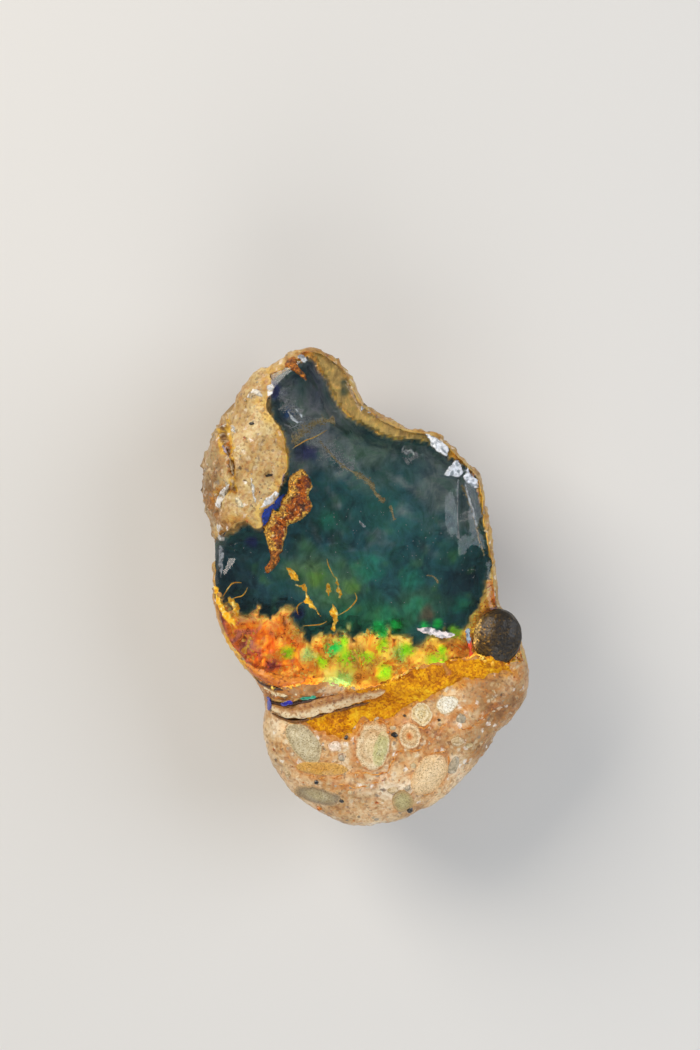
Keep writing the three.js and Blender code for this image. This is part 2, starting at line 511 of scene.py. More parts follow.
def makeWallMaterial():
    # limonite and opal grown on rock, seen through clear opal: soft, fibrous and cloudy
    material, tree = startMaterial("ironStainedOpal")
    place, tint = placeNode(tree), tintNode(tree, "wallTint")
    fibres = addNode(tree, "ShaderNodeMapping", {"Scale": (1.0, 0.45, 1.0), "Vector": place})
    cloud = objectNoise(tree, fibres.outputs["Vector"], 0.9, 8.0, 0.72, 0.8)
    cloudPaint = rampNode(tree, cloud, [
        (0.3, "#c07c30"), (0.38, "#f8d490"), (0.46, (1.7, 1.65, 1.3, 1)), (0.64, (3.0, 3.0, 2.2, 1))])
    stained = blend(tree, tint["Color"], cloudPaint, 0.85, "MULTIPLY")
    sugarPaint = rampNode(tree, cellNodes(tree, place, 0.42)[1]["Red"], [
        (0.0, "#c09060"), (0.3, white), (0.85, white), (1.0, (1.7, 1.7, 1.3, 1))])
    stained = blend(tree, stained, sugarPaint, 0.5, "MULTIPLY")
    bands = addNode(tree, "ShaderNodeMapping", {
        "Scale": (1.3, 0.8, 1.0), "Rotation": (0, 0, 0.8), "Vector": place})
    haze = objectNoise(tree, bands.outputs["Vector"], 2.2, 8.0, 0.66, 1.0)
    hazePaint = rampNode(tree, haze, [
        (0.3, "#7c9694"), (0.45, "#d4deda"), (0.55, white), (0.72, (1.35, 1.4, 1.3, 1))])
    clear = blend(tree, tint["Color"], hazePaint, 0.8, "MULTIPLY")
    glowPaint = rampNode(tree, objectNoise(tree, place, 2.8, 3.0, 0.6, 1.2), [
        (0.36, "#8094b8"), (0.5, white), (0.66, "#b4f0bc")])
    clear = blend(tree, clear, glowPaint, 0.4, "MULTIPLY")
    colour = blend(tree, clear, stained, tint["Alpha"])  # 1 on stained rock, 0 in the clear opal
    finishMaterial(tree, {"Base Color": colour, "Roughness": 0.6, "IOR": 1.3,
                          "Normal": bumpNode(tree, cloud, 0.7, 0.2)})
    return material


def makeGrainyMaterial(name, stops, cloud=0.5, cell=0.2, cellShare=0.4, bump=0.2, roughness=0.5,
                       ior=1.3, coat=0.0):
    # a mineral crust or grain: colours picked by cell, with crumbs as bump
    material, tree = startMaterial(name)
    place = placeNode(tree)
    pick = cellNodes(tree, place, cell)[1]
    crumbs = mathNode(tree, "MULTIPLY_ADD", pick["Red"], cellShare,
                      objectNoise(tree, place, cloud, 6.0, 0.7))
    even = mathNode(tree, "SUBTRACT", crumbs, cellShare / 2)
    finishMaterial(tree, {
        "Base Color": rampNode(tree, even, stops), "Roughness": roughness, "IOR": ior,
        "Coat Weight": coat, "Coat Roughness": 0.08, "Normal": bumpNode(tree, crumbs, bump, 0.15)})
    return material


def makePaintedMaterial(name, attribute, stops, cell, share, bump, roughness, coat):
    # a cut or grown face whose rings are in the piece's own colours
    material, tree = startMaterial(name)
    away, pick = cellNodes(tree, placeNode(tree), cell)
    colour = blend(tree, tintNode(tree, attribute)["Color"], rampNode(tree, pick["Red"], stops),
                   share, "MULTIPLY")
    finishMaterial(tree, {
        "Base Color": colour, "Roughness": roughness, "IOR": 1.5, "Coat Weight": coat,
        "Coat Roughness": 0.08, "Normal": bumpNode(tree, away, bump, 0.1)})
    return material


# colours by place: the last value is how much iron stain shows

wallPaints = {
    "potch": paint("#43808a", 0.0),
    "milk": paint("#bcc0c4", 0.0),
    "leaf": paint("#6fb070", 0.0),
    "orange": paint("#ffb648", 1.0),
    "yellow": paint("#ffdc60", 1.0),
    "rust": paint("#f48c1c", 1.0),
    # pale: a painted highlight on the dome tops and along the stain's edge by the clear window
    "pale": paint("#ffe08c", 1.0),
    # darker orange for the creases between the crust's domes: painted shade
    "creaseShade": paint("#c4680c", 1.0),
    "band": paint("#d4ae68", 0.3),
    "rim": paint("#e8b450", 0.8),
    "foot": paint("#b89460", 0.6),
    "khaki": paint("#bca650", 0.9),
    "umber": paint("#c0741c", 1.0),
    "violet": paint("#a86a80", 0.8),
}

# soft clouds deep in the window: blue, grey-violet and green
potchClouds = [  # x, y, reach along x and y, share, colour
    (-12.6, 0.0, 4.5, 5.5, 0.85, "#4a7282"),
    (-5.5, 18.0, 6.5, 7.5, 1.0, "#d8d2d6"),
    (0.5, 13.6, 6.0, 4.5, 0.75, "#9cac9e"),
    (8.5, 11.0, 5.5, 5.5, 0.85, "#a8aeb4"),
    (10.8, 7.5, 2.4, 4.5, 0.7, "#9aa2a6"),
    (-5.4, 2.0, 4.2, 3.4, 0.7, "#a4cc7c"),
    (-2.6, -0.4, 4.6, 3.4, 0.7, "#98c486"),
    (-3.4, 7.4, 3.4, 3.0, 0.5, "#5a9c84"),
    (2.5, -2.8, 8.0, 3.2, 0.8, "#4ea278"),
    (10.5, 0.2, 4.2, 5.5, 0.85, "#23485a"),
    (1.0, 8.0, 5.0, 4.0, 0.5, "#3c8478"),
    (-4.6, 21.6, 3.2, 3.4, 0.7, "#a8a8c8"),
    (-2.8, -3.4, 4.6, 1.8, 0.75, "#56a274"),
    (2.8, -3.6, 3.4, 1.8, 0.8, "#64d078"),
    (6.2, -1.4, 4.0, 2.6, 0.7, "#5a8c6c"),
]


def glowing(hexText, strength):
    # opal throws its own colours back brighter than a painted face would
    return (*(strength * value for value in paint(hexText)[:3]), 0.0)


# play-of-colour patches: (x, y, reach, colour)
flashPaints = {
    "green": glowing("#2cf870", 1.5), "lime": glowing("#c0ff20", 1.5),
    "pale": glowing("#ccf490", 1.3), "teal": paint("#3fc49c", 0.0),
    "blue": paint("#2c5ad0", 0.0), "violet": paint("#5a4ac0", 0.0),
    "red": paint("#a0604c", 0.1), "hole": paint("#3c5a4c", 0.0),
    "leaf": paint("#a8dc50", 0.0), "plum": paint("#94507c", 0.4),
}
flashShares = {"green": 0.95, "lime": 0.9, "pale": 0.7, "teal": 0.55, "blue": 0.7, "violet": 0.7,
               "red": 0.6, "hole": 0.85, "leaf": 0.6, "plum": 0.6}
flashes = [
    (-3.1, -6.2, 0.8, "green"), (-2.1, -5.4, 0.45, "lime"), (-1.6, -7.2, 1.0, "lime"),
    (2.0, -6.0, 0.6, "lime"), (2.3, -8.7, 0.8, "lime"), (7.5, -7.7, 1.0, "lime"),
    (8.1, -6.5, 0.5, "lime"), (9.5, -4.5, 0.6, "lime"), (11.8, -8.0, 0.5, "green"),
    (-7.8, -6.7, 0.7, "lime"), (-3.1, -9.6, 1.0, "pale"), (-1.8, -9.6, 0.9, "pale"),
    (1.7, -4.2, 0.8, "green"), (0.4, -4.3, 0.6, "teal"), (5.4, -2.0, 1.2, "teal"),
    (6.7, -2.8, 0.9, "red"), (10.3, -1.8, 1.0, "teal"), (7.8, -3.7, 0.5, "green"),
    (-2.0, -3.4, 1.4, "teal"), (-6.7, -2.6, 0.7, "violet"), (-5.2, -4.3, 0.6, "teal"),
    (-12.0, -6.0, 0.8, "plum"), (-9.6, -8.0, 0.7, "plum"), (-5.7, -7.0, 0.9, "pale"),
    (-11.7, 4.9, 0.6, "violet"), (-7.8, 18.3, 0.8, "blue"), (-6.0, 14.1, 1.1, "violet"),
    (-3.8, 7.1, 1.0, "teal"), (-9.2, 20.6, 0.9, "violet"), (3.6, -6.8, 0.9, "pale"),
    (-8.9, 11.6, 0.8, "blue"), (0.5, 2.0, 1.6, "teal"), (5.0, 1.0, 1.3, "teal"),
    (-2.1, 21.6, 0.35, "hole"), (-1.9, 20.6, 0.5, "hole"), (-0.6, 20.8, 0.5, "hole"),
    (0.4, -7.2, 0.7, "lime"), (4.6, -6.4, 0.7, "lime"), (-4.3, -7.6, 0.6, "lime"),
    (2.6, -3.2, 1.3, "teal"), (-4.9, 0.9, 0.9, "leaf"), (-1.2, 0.2, 0.8, "leaf"),
    (3.4, -3.9, 0.6, "green"), (6.4, -4.0, 0.5, "green"),
]


def ovalAway(x, y, midX, midY, reachX, reachY):
    # 0 in the middle of an oval and 1 at its edge
    return math.hypot((x - midX) / reachX, (y - midY) / reachY)


def layPaints(colour, paints, layers):
    # lays named colours over each other, each with its share
    for key, share in layers:
        colour = mixPaint(colour, paints[key], share)
    return colour


def potchPaint(x, y):
    colour = wallPaints["potch"]
    for midX, midY, reachX, reachY, share, hexText in potchClouds:
        away = ovalAway(x, y, midX, midY, reachX, reachY)
        near = ease(1.0 - away + 0.45 * wave(x, y, 1.9, (x - midX) / reachX), 0.0, 0.9)
        colour = mixPaint(colour, paint(hexText, 0.0), near * share)
    veil = noise.noise(Vector(((x + y) / 1.8, (x - y) / 6.0, 33.0))) + 0.5 * wave(x, y, 0.9, 34.0)
    leaf = wave(x, y, 1.7, 35.0) + 0.4 * wave(x, y, 0.7, 36.0)
    return layPaints(colour, wallPaints, [
        ("milk", 0.65 * ease(veil, 0.1, 0.7) * ease(y, 1.0, 9.0)),
        ("leaf", 0.55 * ease(leaf, 0.15, 0.7) * ease(-y, -9.0, -2.0)),
    ])


def stainPaint(x, y):
    dome = domeAt(x, y)
    ragged = 0.4 * wave(x, y, 0.9, 18.0)
    corner = ease(1.1 - ovalAway(x, y, 13.4, -1.6, 2.2, 4.0) + ragged, 0.0, 0.5)
    bank = ease(1.1 - ovalAway(x, y, 10.0, -5.8, 2.8, 1.5) + ragged, 0.0, 0.5)
    middle = 1.2 - ovalAway(x, y, -1.6, -7.6, 4.4, 2.2) + 0.9 * wave(x, y, 1.4, 19.0)
    return layPaints(wallPaints["orange"], wallPaints, [
        ("yellow", 0.4 + 0.9 * wave(x, y, 1.9, 12.0) + 0.04 * x),
        ("rust", 0.8 * ease(wave(x, y, 1.3, 15.0) - 0.06 * x, 0.1, 0.8)),
        # darker in the creases between the domes: painted shade
        ("creaseShade", 0.72 * (1 - ease(dome, 0.0, 0.4))),
        # paler on the dome tops: painted highlight
        ("pale", 0.36 * ease(dome + wave(x, y, 0.6, 17.0), 0.8, 1.5)),
        ("umber", 0.8 * max(corner, 0.9 * bank)),
        ("khaki", 0.65 * ease(middle, 0.1, 1.0)),
        ("violet", 0.6 * ease(wave(x, y, 0.7, 21.0) - 0.06 * x, 0.7, 1.1)),
    ])


def wallPaint(x, y, z):
    dark = windowEdge(x, y)
    colour = mixPaint(wallPaints["rim"], wallPaints["foot"], ease(-x, 8.0, 10.0) * ease(y, 3.5, 5.0))
    colour = mixPaint(colour, stainPaint(x, y), ease(-y, -3.0, 0.0))
    colour = mixPaint(colour, wallPaints["band"], ease(inset(tanBand, x, y), -0.3, 0.1))
    edge = ease(-dark, 0.0, 0.9)
    # paler along the stain's edge by the clear window: painted highlight
    colour = mixPaint(colour, wallPaints["pale"], 0.55 * (1 - edge) * ease(-y, -3.0, 0.0))
    start = 0.5 + 1.1 * ease(-y, -1.0, 2.0)  # mm down where the clear dark opal's wall begins
    deepness = ease((topAt(x, y) or z) - z, start, 2.2 * start) * ease(dark, -0.3, 0.25)
    colour = mixPaint(colour, potchPaint(x, y), deepness)
    for flashX, flashY, reach, key in flashes:
        away = math.hypot(x - flashX, y - flashY) / (1.15 * reach)
        if away < 1.8:
            near = ease(1.2 - away + 0.5 * wave(x, y, 0.9, 31.0), 0.0, 0.9)
            colour = mixPaint(colour, flashPaints[key], flashShares[key] * near)
    return colour


rockPaints = {
    "patch": paint("#dcc48a", 0.35),
    "yellow": paint("#e8b830", 0.5),
    "base": paint("#ecca98", 0.5),
    "cream": paint("#f4dfbc", 0.2),
    # darker and browner towards the east of the lower rock: painted shade
    "brown": paint("#b08a5a", 0.5),
    "flank": paint("#b8a07a", 0.2),
    "shade": paint("#94784c", 0.5),
    "rim": paint("#ccaa58", 0.5),
    "gold": paint("#ffc42c", 0.3),
    "fresh": paint("#e0a040", 1.0),
    "vein": paint("#dc9038", 0.8),
    "ledge": paint("#b47a38", 1.0),
    # dark brown in the depth of the cracks: painted shade
    "crack": paint("#6a4408", 1.0),
}


# orange veins that run round the pebbles and between the grains
veinLines = [
    [(-8.2, -16.8), (-7.2, -18.4), (-5.6, -19.5), (-3.2, -19.7), (-1.2, -19.2), (0.2, -19.1),
     (2.0, -19.2), (3.0, -18.0), (3.8, -17.0), (5.6, -16.9), (7.2, -15.8), (8.2, -14.6), (10.0, -12.9),
     (11.6, -12.2)],
    [(-1.0, -17.6), (-0.9, -16.0), (-0.5, -14.5), (0.9, -13.6), (2.4, -14.2), (3.0, -15.6)],
    [(3.2, -14.0), (4.6, -13.8), (5.6, -14.5), (6.6, -14.6), (7.4, -13.4), (8.4, -13.2)],
    [(6.2, -17.6), (7.6, -17.0), (8.8, -17.6), (8.4, -19.6), (7.0, -21.4), (5.4, -21.0)],
    [(2.4, -19.4), (1.0, -20.4), (-1.4, -20.6), (-3.4, -20.2)],
    [(8.6, -14.2), (10.6, -14.6), (12.4, -13.6), (13.8, -12.2)],
    [(4.2, -18.2), (5.4, -19.6), (5.2, -21.4), (3.4, -23.0)],
]


veinTree = pointTree([point for line in veinLines for point in smoothLine(line, 8)])


patchFloor = 12  # mm, the height that the broken rock patch comes down to


def onPatch(y, z):
    return z > patchFloor and y > 0


def rockPaint(x, y, z):
    if y < -6:
        colour = layPaints(rockPaints["base"], rockPaints, [
            ("cream", ease(wave(x, y, 2.8, 43.0), 0.0, 0.4)),
            # darker and browner towards the east: painted shade
            ("brown", 0.8 * ease(x + 1.5 * wave(x, y, 3.0, 44.0), 9.0, 13.0)),
        ])
    else:
        yellow = ease(1.2 - inset(rockPatch, x, y) + wave(x, y, 1.5, 45.0), 0.0, 1.0)
        west = -x + 0.1 * (y - 14.0) + wave(x, y, 2.0, 46.0)
        colour = layPaints(rockPaints["patch"], rockPaints, [
            ("yellow", 0.6 * yellow), ("shade", 0.75 * ease(west, 14.0, 15.4))])
    if inset(rockPatch, x, y) < 0.5 and inset(southRim, x, y) < 0.3:
        gold = ease(-x, 10.0, 13.0) * ease(wave(x, y, 1.4, 47.0) - 0.1 * y, -0.1, 0.4)
        rim = mixPaint(rockPaints["rim"], rockPaints["gold"], gold)
        colour = mixPaint(rim, colour, ease(inset(outline, x, y), 0.3, 1.2))
    nearAmber = 0.8 + 0.8 * wave(x, y, 1.2, 41.0) + inset(amberHollow, x, y)
    veinAway = veinTree.find((x, y, 0))[2] + 0.5 * wave(x, y, 0.8, 48.0)
    nearLedge = 1.2 - ovalAway(x, y, -8.0, -10.8, 5.5, 1.9) + 0.5 * wave(x, y, 1.0, 49.0)
    cut = crackDepth(x, y) if onPatch(y, z) else 0.0
    return layPaints(colour, rockPaints, [
        ("fresh", ease(nearAmber, 0.0, 0.9)),
        ("vein", 0.6 * (1 - ease(veinAway, 0.1, 0.6))),
        ("ledge", 0.8 * ease(nearLedge, 0.0, 0.6)),
        ("yellow", ease(cut, 0.02, 0.2)),
        # dark in the depth of the cracks: painted shade
        ("crack", ease(cut, 0.5, 0.8)),
        ("flank", ease(windowTop - z, 4.0, 10.0)),
    ])


def storePaint(piece, attribute, painter):
    mesh = piece.data
    layer = mesh.color_attributes.new(attribute, "FLOAT_COLOR", "POINT")
    values = []
    for v in mesh.vertices:
        values.extend(painter(v.co.x / mm, v.co.y / mm, v.co.z / mm))
    layer.data.foreach_set("color", values)


# host rock: the whole stone less the opal

rockShape = {
    "lumps": 0.2,
    "grit": 0.09,
    "facet": 2.4,  # mm across the flat faces of the broken patch
    "lean": 0.34,
    "crackDeep": 0.9,
    "stepDown": 0.55,
    "fineFrom": 11,  # mm, the height over which the facets are smallest
    "flat": 0.05,  # mm, under which the stone's resting place stays flat
}
cracks = [  # splits in the rock patch: half width and line, in mm
    (0.95, [(-14.9, 17.6), (-14.6, 16.0), (-14.2, 14.6)]),
    (0.4, [(-14.2, 14.6), (-13.8, 13.0), (-13.7, 11.6), (-13.4, 10.2)]),
    (0.5, [(-13.7, 10.4), (-14.8, 10.2), (-15.5, 9.4)]),
]


def crackDepth(x, y):
    deepest = 0.0
    for half, line in cracks:
        for (ax, ay), (bx, by) in zip(line, line[1:]):
            dx, dy = bx - ax, by - ay
            t = min(1.0, max(0.0, ((x - ax) * dx + (y - ay) * dy) / (dx * dx + dy * dy)))
            away = math.hypot(x - ax - t * dx, y - ay - t * dy) + 0.3 * wave(x, y, 0.7, 51.0)
            deepest = max(deepest, 1 - away / half)
    return min(1.0, max(0.0, deepest))


def facetPush(place, size, lean):
    # flat faces of broken rock, each leaning its own way
    spot = noise.voronoi(place / size)[1][0]
    way = Vector([noise.noise(spot * 3.7 + Vector((turn, 0, 0))) for turn in (7.3, 31.7, 59.1)])
    return lean * (place - spot * size).dot(way)


def rockPush(place):
    # how far the broken surface stands off the smooth one, in mm
    push = rockShape["lumps"] * noise.fractal(place / 2.4, 0.9, 2.0, 4)
    broken = 0.25 + 0.75 * ease(place.y, -2.0, 4.0)
    push += broken * facetPush(place, rockShape["facet"], rockShape["lean"])
    push += broken * facetPush(place, rockShape["facet"] * 0.4, rockShape["lean"])
    push += rockShape["grit"] * noise.noise(place / 0.5)
    if onPatch(place.y, place.z):
        push -= rockShape["crackDeep"] * crackDepth(place.x, place.y)
        beyond = -14.1 - place.x + 0.12 * (place.y - 14.0) + 0.4 * wave(place.x, place.y, 1.5, 52.0)
        push -= rockShape["stepDown"] * ease(beyond, 0.0, 0.5)
    return push


def roughStone():
    bm = fineStone(rockShape["fineFrom"])
    bm.normal_update()
    for v in bm.verts:
        if v.co.z < rockShape["flat"] * mm:
            v.co.z = 0
            continue
        v.co += v.normal * rockPush(v.co / mm) * mm
        v.co.z = max(0.0, v.co.z)
    return bm


def makeHostRock(materials):
    rock = finishPiece("host_rock", roughStone(), materials, "host_rock")
    cutPiece(rock, makeWallBlock("wallBlock", 0.0, materials), "DIFFERENCE")
    return rock


opalShape = {
    "height": windowTop - 1.25,  # the window's plane, which the rock shoulders stand above
    "crown": 0.6,
    "ripple": 0.03,
    "fineFrom": 14,
}


def ridgeDrop(x, y):
    # how far the east side was chipped below the window, in shell-shaped steps
    along = ease(y, 2.0, 5.0) * (1 - ease(y, 11.0, 13.5))
    first = max(0.0, x - 8.9 - 0.1 * (y - 8)) * 0.1
    second = max(0.0, x - 9.9) * 0.2 + 0.12 * ease(x, 9.85, 10.0)
    return along * (first + second * (1 + 0.5 * wave(x, y, 1.8, 63.0)))


def windowPlane(x, y):
    plane = opalShape["height"] - opalShape["crown"] * ((x / 16) ** 2 + (y / 24) ** 2)
    return plane + opalShape["ripple"] * wave(x, y, 3.5, 61.0) - ridgeDrop(x, y)


def insideOf(x, y, margin=0.2):
    # the same place, or the nearest one just inside the stone's outline
    if inset(outline, x, y) > margin:
        return x, y
    px, py = outline["tree"].find((x, y, 0))[0].xy
    reach = math.hypot(px, py)
    return px * (1 - margin / reach), py * (1 - margin / reach)


def windowAt(x, y):
    # height of the opal's own surface, in mm
    x, y = insideOf(x, y)
    return min(topAt(x, y) or windowTop, windowPlane(x, y))


def makeOpalBody(material):
    bm = fineStone(opalShape["fineFrom"])
    for v in bm.verts:
        v.co.z = min(v.co.z, windowPlane(v.co.x / mm, v.co.y / mm) * mm)
    opal = finishPiece("opal_window", bm, [material], "opal")
    cutPiece(opal, makeWallBlock("seatBlock", wallShape["seat"], [material]), "INTERSECT")


hostRock = makeHostRock([makeTuffMaterial(), makeWallMaterial()])
storePaint(hostRock, "rockTint", rockPaint)
storePaint(hostRock, "wallTint", wallPaint)
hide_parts("opal_stone")
print("host rock made")
makeOpalBody(makeOpalMaterial())
print("opal made")


# crusts, flakes and grains

roughTree = surfaceTree(roughStone())


def roughAt(x, y):
    # height of the broken rock's surface, in mm
    x, y = insideOf(x, y)
    return heightOn(roughTree, x, y) or topAt(x, y) or windowTop


def wallAt(x, y):
    # height of the wall between opal and rock, in mm
    x, y = insideOf(x, y)
    return topAt(x, y) - opalDepth(x, y)


def raggedLoop(points, swing, size):
    # a smooth loop with a broken edge
    return [(x + swing * wave(x, y, size, 92.0), y + swing * wave(x, y, size, 94.0))
            for x, y in smoothLoop(points)]


def closeSheet(bm, verts, thickness):
    # gives an open sheet its underside; returns the corners of both
    faces = list(dict.fromkeys(f for v in verts for f in v.link_faces))
    under = extrudeFaces(bm, faces)
    for v in under:
        v.co.z -= thickness * mm
    return verts + under


def addCrust(bm, loop, cell, thickness, heightOf):
    # a sheet over a loop, crisp at its edge and closed underneath
    zone = makeZone(loop)
    xs, ys = zip(*loop)
    width, length = max(xs) - min(xs) + 2 * cell, max(ys) - min(ys) + 2 * cell
    midX, midY = (max(xs) + min(xs)) / 2, (max(ys) + min(ys)) / 2
    verts = bmesh.ops.create_grid(bm, x_segments=max(2, round(width / cell)),
                                  y_segments=max(2, round(length / cell)), size=0.5)["verts"]
    outside = []
    for v in verts:
        x, y = midX + v.co.x * width, midY + v.co.y * length
        edge = inset(zone, x, y)
        if edge < -0.8 * cell:
            outside.append(v)
        elif edge < 0.3 * cell:
            x, y = zone["tree"].find((x, y, 0))[0].xy
            edge = 0.0
        x, y = insideOf(x, y)
        v.co = Vector((x, y, heightOf(x, y, edge))) * mm
    bmesh.ops.delete(bm, geom=outside, context="VERTS")
    return closeSheet(bm, [v for v in verts if v.is_valid], thickness)


def tidyNormals(bm):
    loose = [v for v in bm.verts if not v.link_faces]
    bmesh.ops.delete(bm, geom=loose, context="VERTS")
    bmesh.ops.recalc_face_normals(bm, faces=bm.faces)


def orderParts(parts, placeOf):
    # corners or faces in one order by place, so that every run gives the same mesh
    ranks = {part: i for i, part in enumerate(sorted(parts, key=lambda part: placeOf(part)[:]))}
    parts.sort(key=lambda part: ranks[part])


def closePiece(name, bm, material, slot, smooth=True):
    tidyNormals(bm)
    orderParts(bm.verts, lambda v: v.co)
    orderParts(bm.faces, lambda f: f.calc_center_median())
    finishPiece(name, bm, [material], slot, smooth)


def startTinted(attribute):
    bm = bmesh.new()
    return bm, bm.verts.layers.float_color.new(attribute)


def lumpTemplate(detail):
    bm = bmesh.new()
    bmesh.ops.create_icosphere(bm, subdivisions=detail, radius=1.0)
    bm.verts.index_update()
    places = [v.co.copy() for v in bm.verts]
    corners = [[v.index for v in f.verts] for f in bm.faces]
    bm.free()
    return places, corners


lumpTemplates = {detail: lumpTemplate(detail) for detail in (1, 2)}


def addChip(bm, place, radii, turn, seed, detail=1, jitter=0.3):
    # a small broken lump: place and radii in mm, turn about Z or as a quaternion
    places, corners = lumpTemplates[detail]
    spin = turn.to_matrix() if hasattr(turn, "to_matrix") else Matrix.Rotation(turn, 3, "Z")
    made = []
    for co in places:
        rough = 1 + jitter * noise.noise(co * 1.7 + Vector((seed, seed * 0.7, 0)))
        shaped = Vector((co.x * radii[0], co.y * radii[1], co.z * radii[2])) * rough
        made.append(bm.verts.new((Vector(place) + spin @ shaped) * mm))
    for corner in corners:
        bm.faces.new([made[i] for i in corner])
    return made


def addThread(bm, points, radius):
    # a fine thread through points in mm, thin at both ends
    data = bpy.data.curves.new("thread", "CURVE")
    data.dimensions = "3D"
    data.bevel_depth = radius * mm
    data.bevel_resolution = 1
    data.use_fill_caps = True
    line = data.splines.new("NURBS")
    line.points.add(len(points) - 1)
    for i, (point, place) in enumerate(zip(line.points, points)):
        point.co = (*(c * mm for c in place), 1)
        point.radius = 0.35 + 0.65 * math.sin(math.pi * i / (len(points) - 1))
    line.use_endpoint_u = True
    line.order_u = 3
    holder = addObject("thread", data)
    mesh = bpy.data.meshes.new_from_object(holder.evaluated_get(
        bpy.context.evaluated_depsgraph_get()))
    bm.from_mesh(mesh)
    bpy.data.objects.remove(holder)
    bpy.data.meshes.remove(mesh)
    bpy.data.curves.remove(data)


# rust-brown crust that stands on the opal, tan along its west side

rustCrust = {
    "zone": [(-7.1, 12.2), (-6.2, 12.4), (-5.3, 10.8), (-5.7, 9.8), (-5.3, 8.5), (-6.2, 7.4),
             (-7.0, 6.9), (-7.8, 6.6), (-8.0, 5.6), (-8.3, 4.8), (-8.4, 3.9), (-8.8, 3.5), (-8.7, 3.0),
             (-9.2, 2.2), (-10.0, 1.6), (-10.3, 2.2), (-9.7, 3.1), (-9.9, 4.2), (-10.2, 5.3),
             (-10.5, 6.4), (-9.9, 7.1), (-9.5, 8.3), (-8.9, 8.1), (-8.5, 9.4), (-7.9, 10.2),
             (-7.8, 11.5)],
    "splinter": [(-7.3, 24.3), (-7.9, 24.0), (-8.3, 23.3), (-7.1, 22.5), (-6.0, 21.7),
                 (-6.1, 22.4), (-6.7, 23.1), (-7.0, 23.9)],
    "tanReach": 1.0,  # mm of tan along the west side
    "tanSpan": (4.0, 20.0),  # mm along the stone where that side is tan
    "cell": 0.11,
    "thick": 0.3,
    "height": 0.6,
    "sink": 0.12,
}
crustPaints = {
    "rust": paint("#a85a00"), "deep": paint("#542800"), "tan": paint("#d0a648"),
    "glint": paint("#f0dcb0"),
}


def westOf(loop, x, y):
    # how far the loop's west side is, in mm, at this height
    wests = [x - px for px, py in loop if abs(py - y) < 0.6]
    return min((w for w in wests if w > -0.2), default=2.0)


def makeRustCrust():
    material = makePaintedMaterial("limoniteCrustGranular", "crustTint", [
        # the brightest cells, past white, are painted sparkle highlights
        (0.0, "#5a3810"), (0.3, "#c49858"), (0.6, white), (0.9, (1.4, 1.25, 0.8, 1)),
        (1.0, (2.2, 2.0, 1.4, 1))], cell=0.17, share=0.9, bump=0.8, roughness=0.6, coat=0.05)
    bm, tints = startTinted("crustTint")

    def heightOf(x, y, edge):
        lump = 0.6 + 0.7 * wave(x, y, 0.9, 71.0) + 0.7 * wave(x, y, 0.35, 73.0)
        rise = rustCrust["height"] * ease(edge, 0.0, 0.35) * max(0.15, lump)
        return windowAt(x, y) + rise - rustCrust["sink"] * (1 - ease(edge, 0.0, 0.2))

    for key in ("zone", "splinter"):
        addCrust(bm, smoothLoop(rustCrust[key]), rustCrust["cell"], rustCrust["thick"], heightOf)
    south, north = rustCrust["tanSpan"]
    for v in bm.verts:
        x, y = v.co.x / mm, v.co.y / mm
        west = westOf(rustCrust["zone"], x, y) + 0.5 * wave(x, y, 0.5, 78.0)
        tan = 1 - ease(west, 0.6 * rustCrust["tanReach"], rustCrust["tanReach"])
        v[tints] = layPaints(crustPaints["rust"], crustPaints, [
            ("deep", ease(wave(x, y, 0.6, 77.0), 0.0, 0.5)),
            ("tan", tan if south < y < north else 0.15),
            ("glint", 0.7 * ease(wave(x, y, 0.3, 79.0), 0.45, 0.6)),
        ])
    closePiece("rust_crust", bm, material, "iron_stain")


# gold-coloured flakes and threads sealed under the window

goldFlakes = [  # depth under the window and outline, in mm
    (0.12, [(-8.0, 2.3), (-7.4, 2.0), (-6.8, 1.4), (-6.7, 0.9), (-7.3, 0.9), (-7.8, 1.5)]),
    (0.15, [(-7.1, 0.4), (-6.1, 0.5), (-5.9, 0.0), (-5.8, -0.5), (-5.3, -1.4), (-4.8, -2.2),
     (-4.4, -2.9), (-5.1, -2.2), (-5.8, -1.6), (-6.2, -1.5), (-6.0, -0.6), (-6.4, 0.0)]),
    (0.25, [(-3.1, 1.4), (-2.7, 0.9), (-2.5, 0.2), (-2.3, -0.3), (-2.3, -0.9), (-2.6, -1.1),
     (-2.7, -0.4), (-2.8, 0.4)]),
    (0.12, [(-3.3, -1.5), (-2.9, -1.9), (-2.7, -2.4), (-2.6, -3.0), (-2.8, -3.8), (-3.0, -4.5),
     (-3.3, -4.1), (-3.2, -3.2), (-3.6, -2.6), (-3.4, -2.1)]),
    (1.2, [(-3.9, 0.5), (-3.5, 0.5), (-3.3, -0.2), (-3.6, -0.8), (-3.9, -0.3)]),
    (0.2, [(-14.2, -0.9), (-13.2, -1.4), (-12.9, -2.2), (-13.2, -3.0), (-13.8, -2.0)]),
    (0.05, [(-15.6, 0.2), (-15.2, 0.1), (-14.9, -1.2), (-14.2, -2.3), (-13.5, -3.1), (-13.2, -4.2),
     (-13.7, -3.7), (-14.4, -3.4), (-14.9, -2.4), (-15.4, -1.3)]),
]
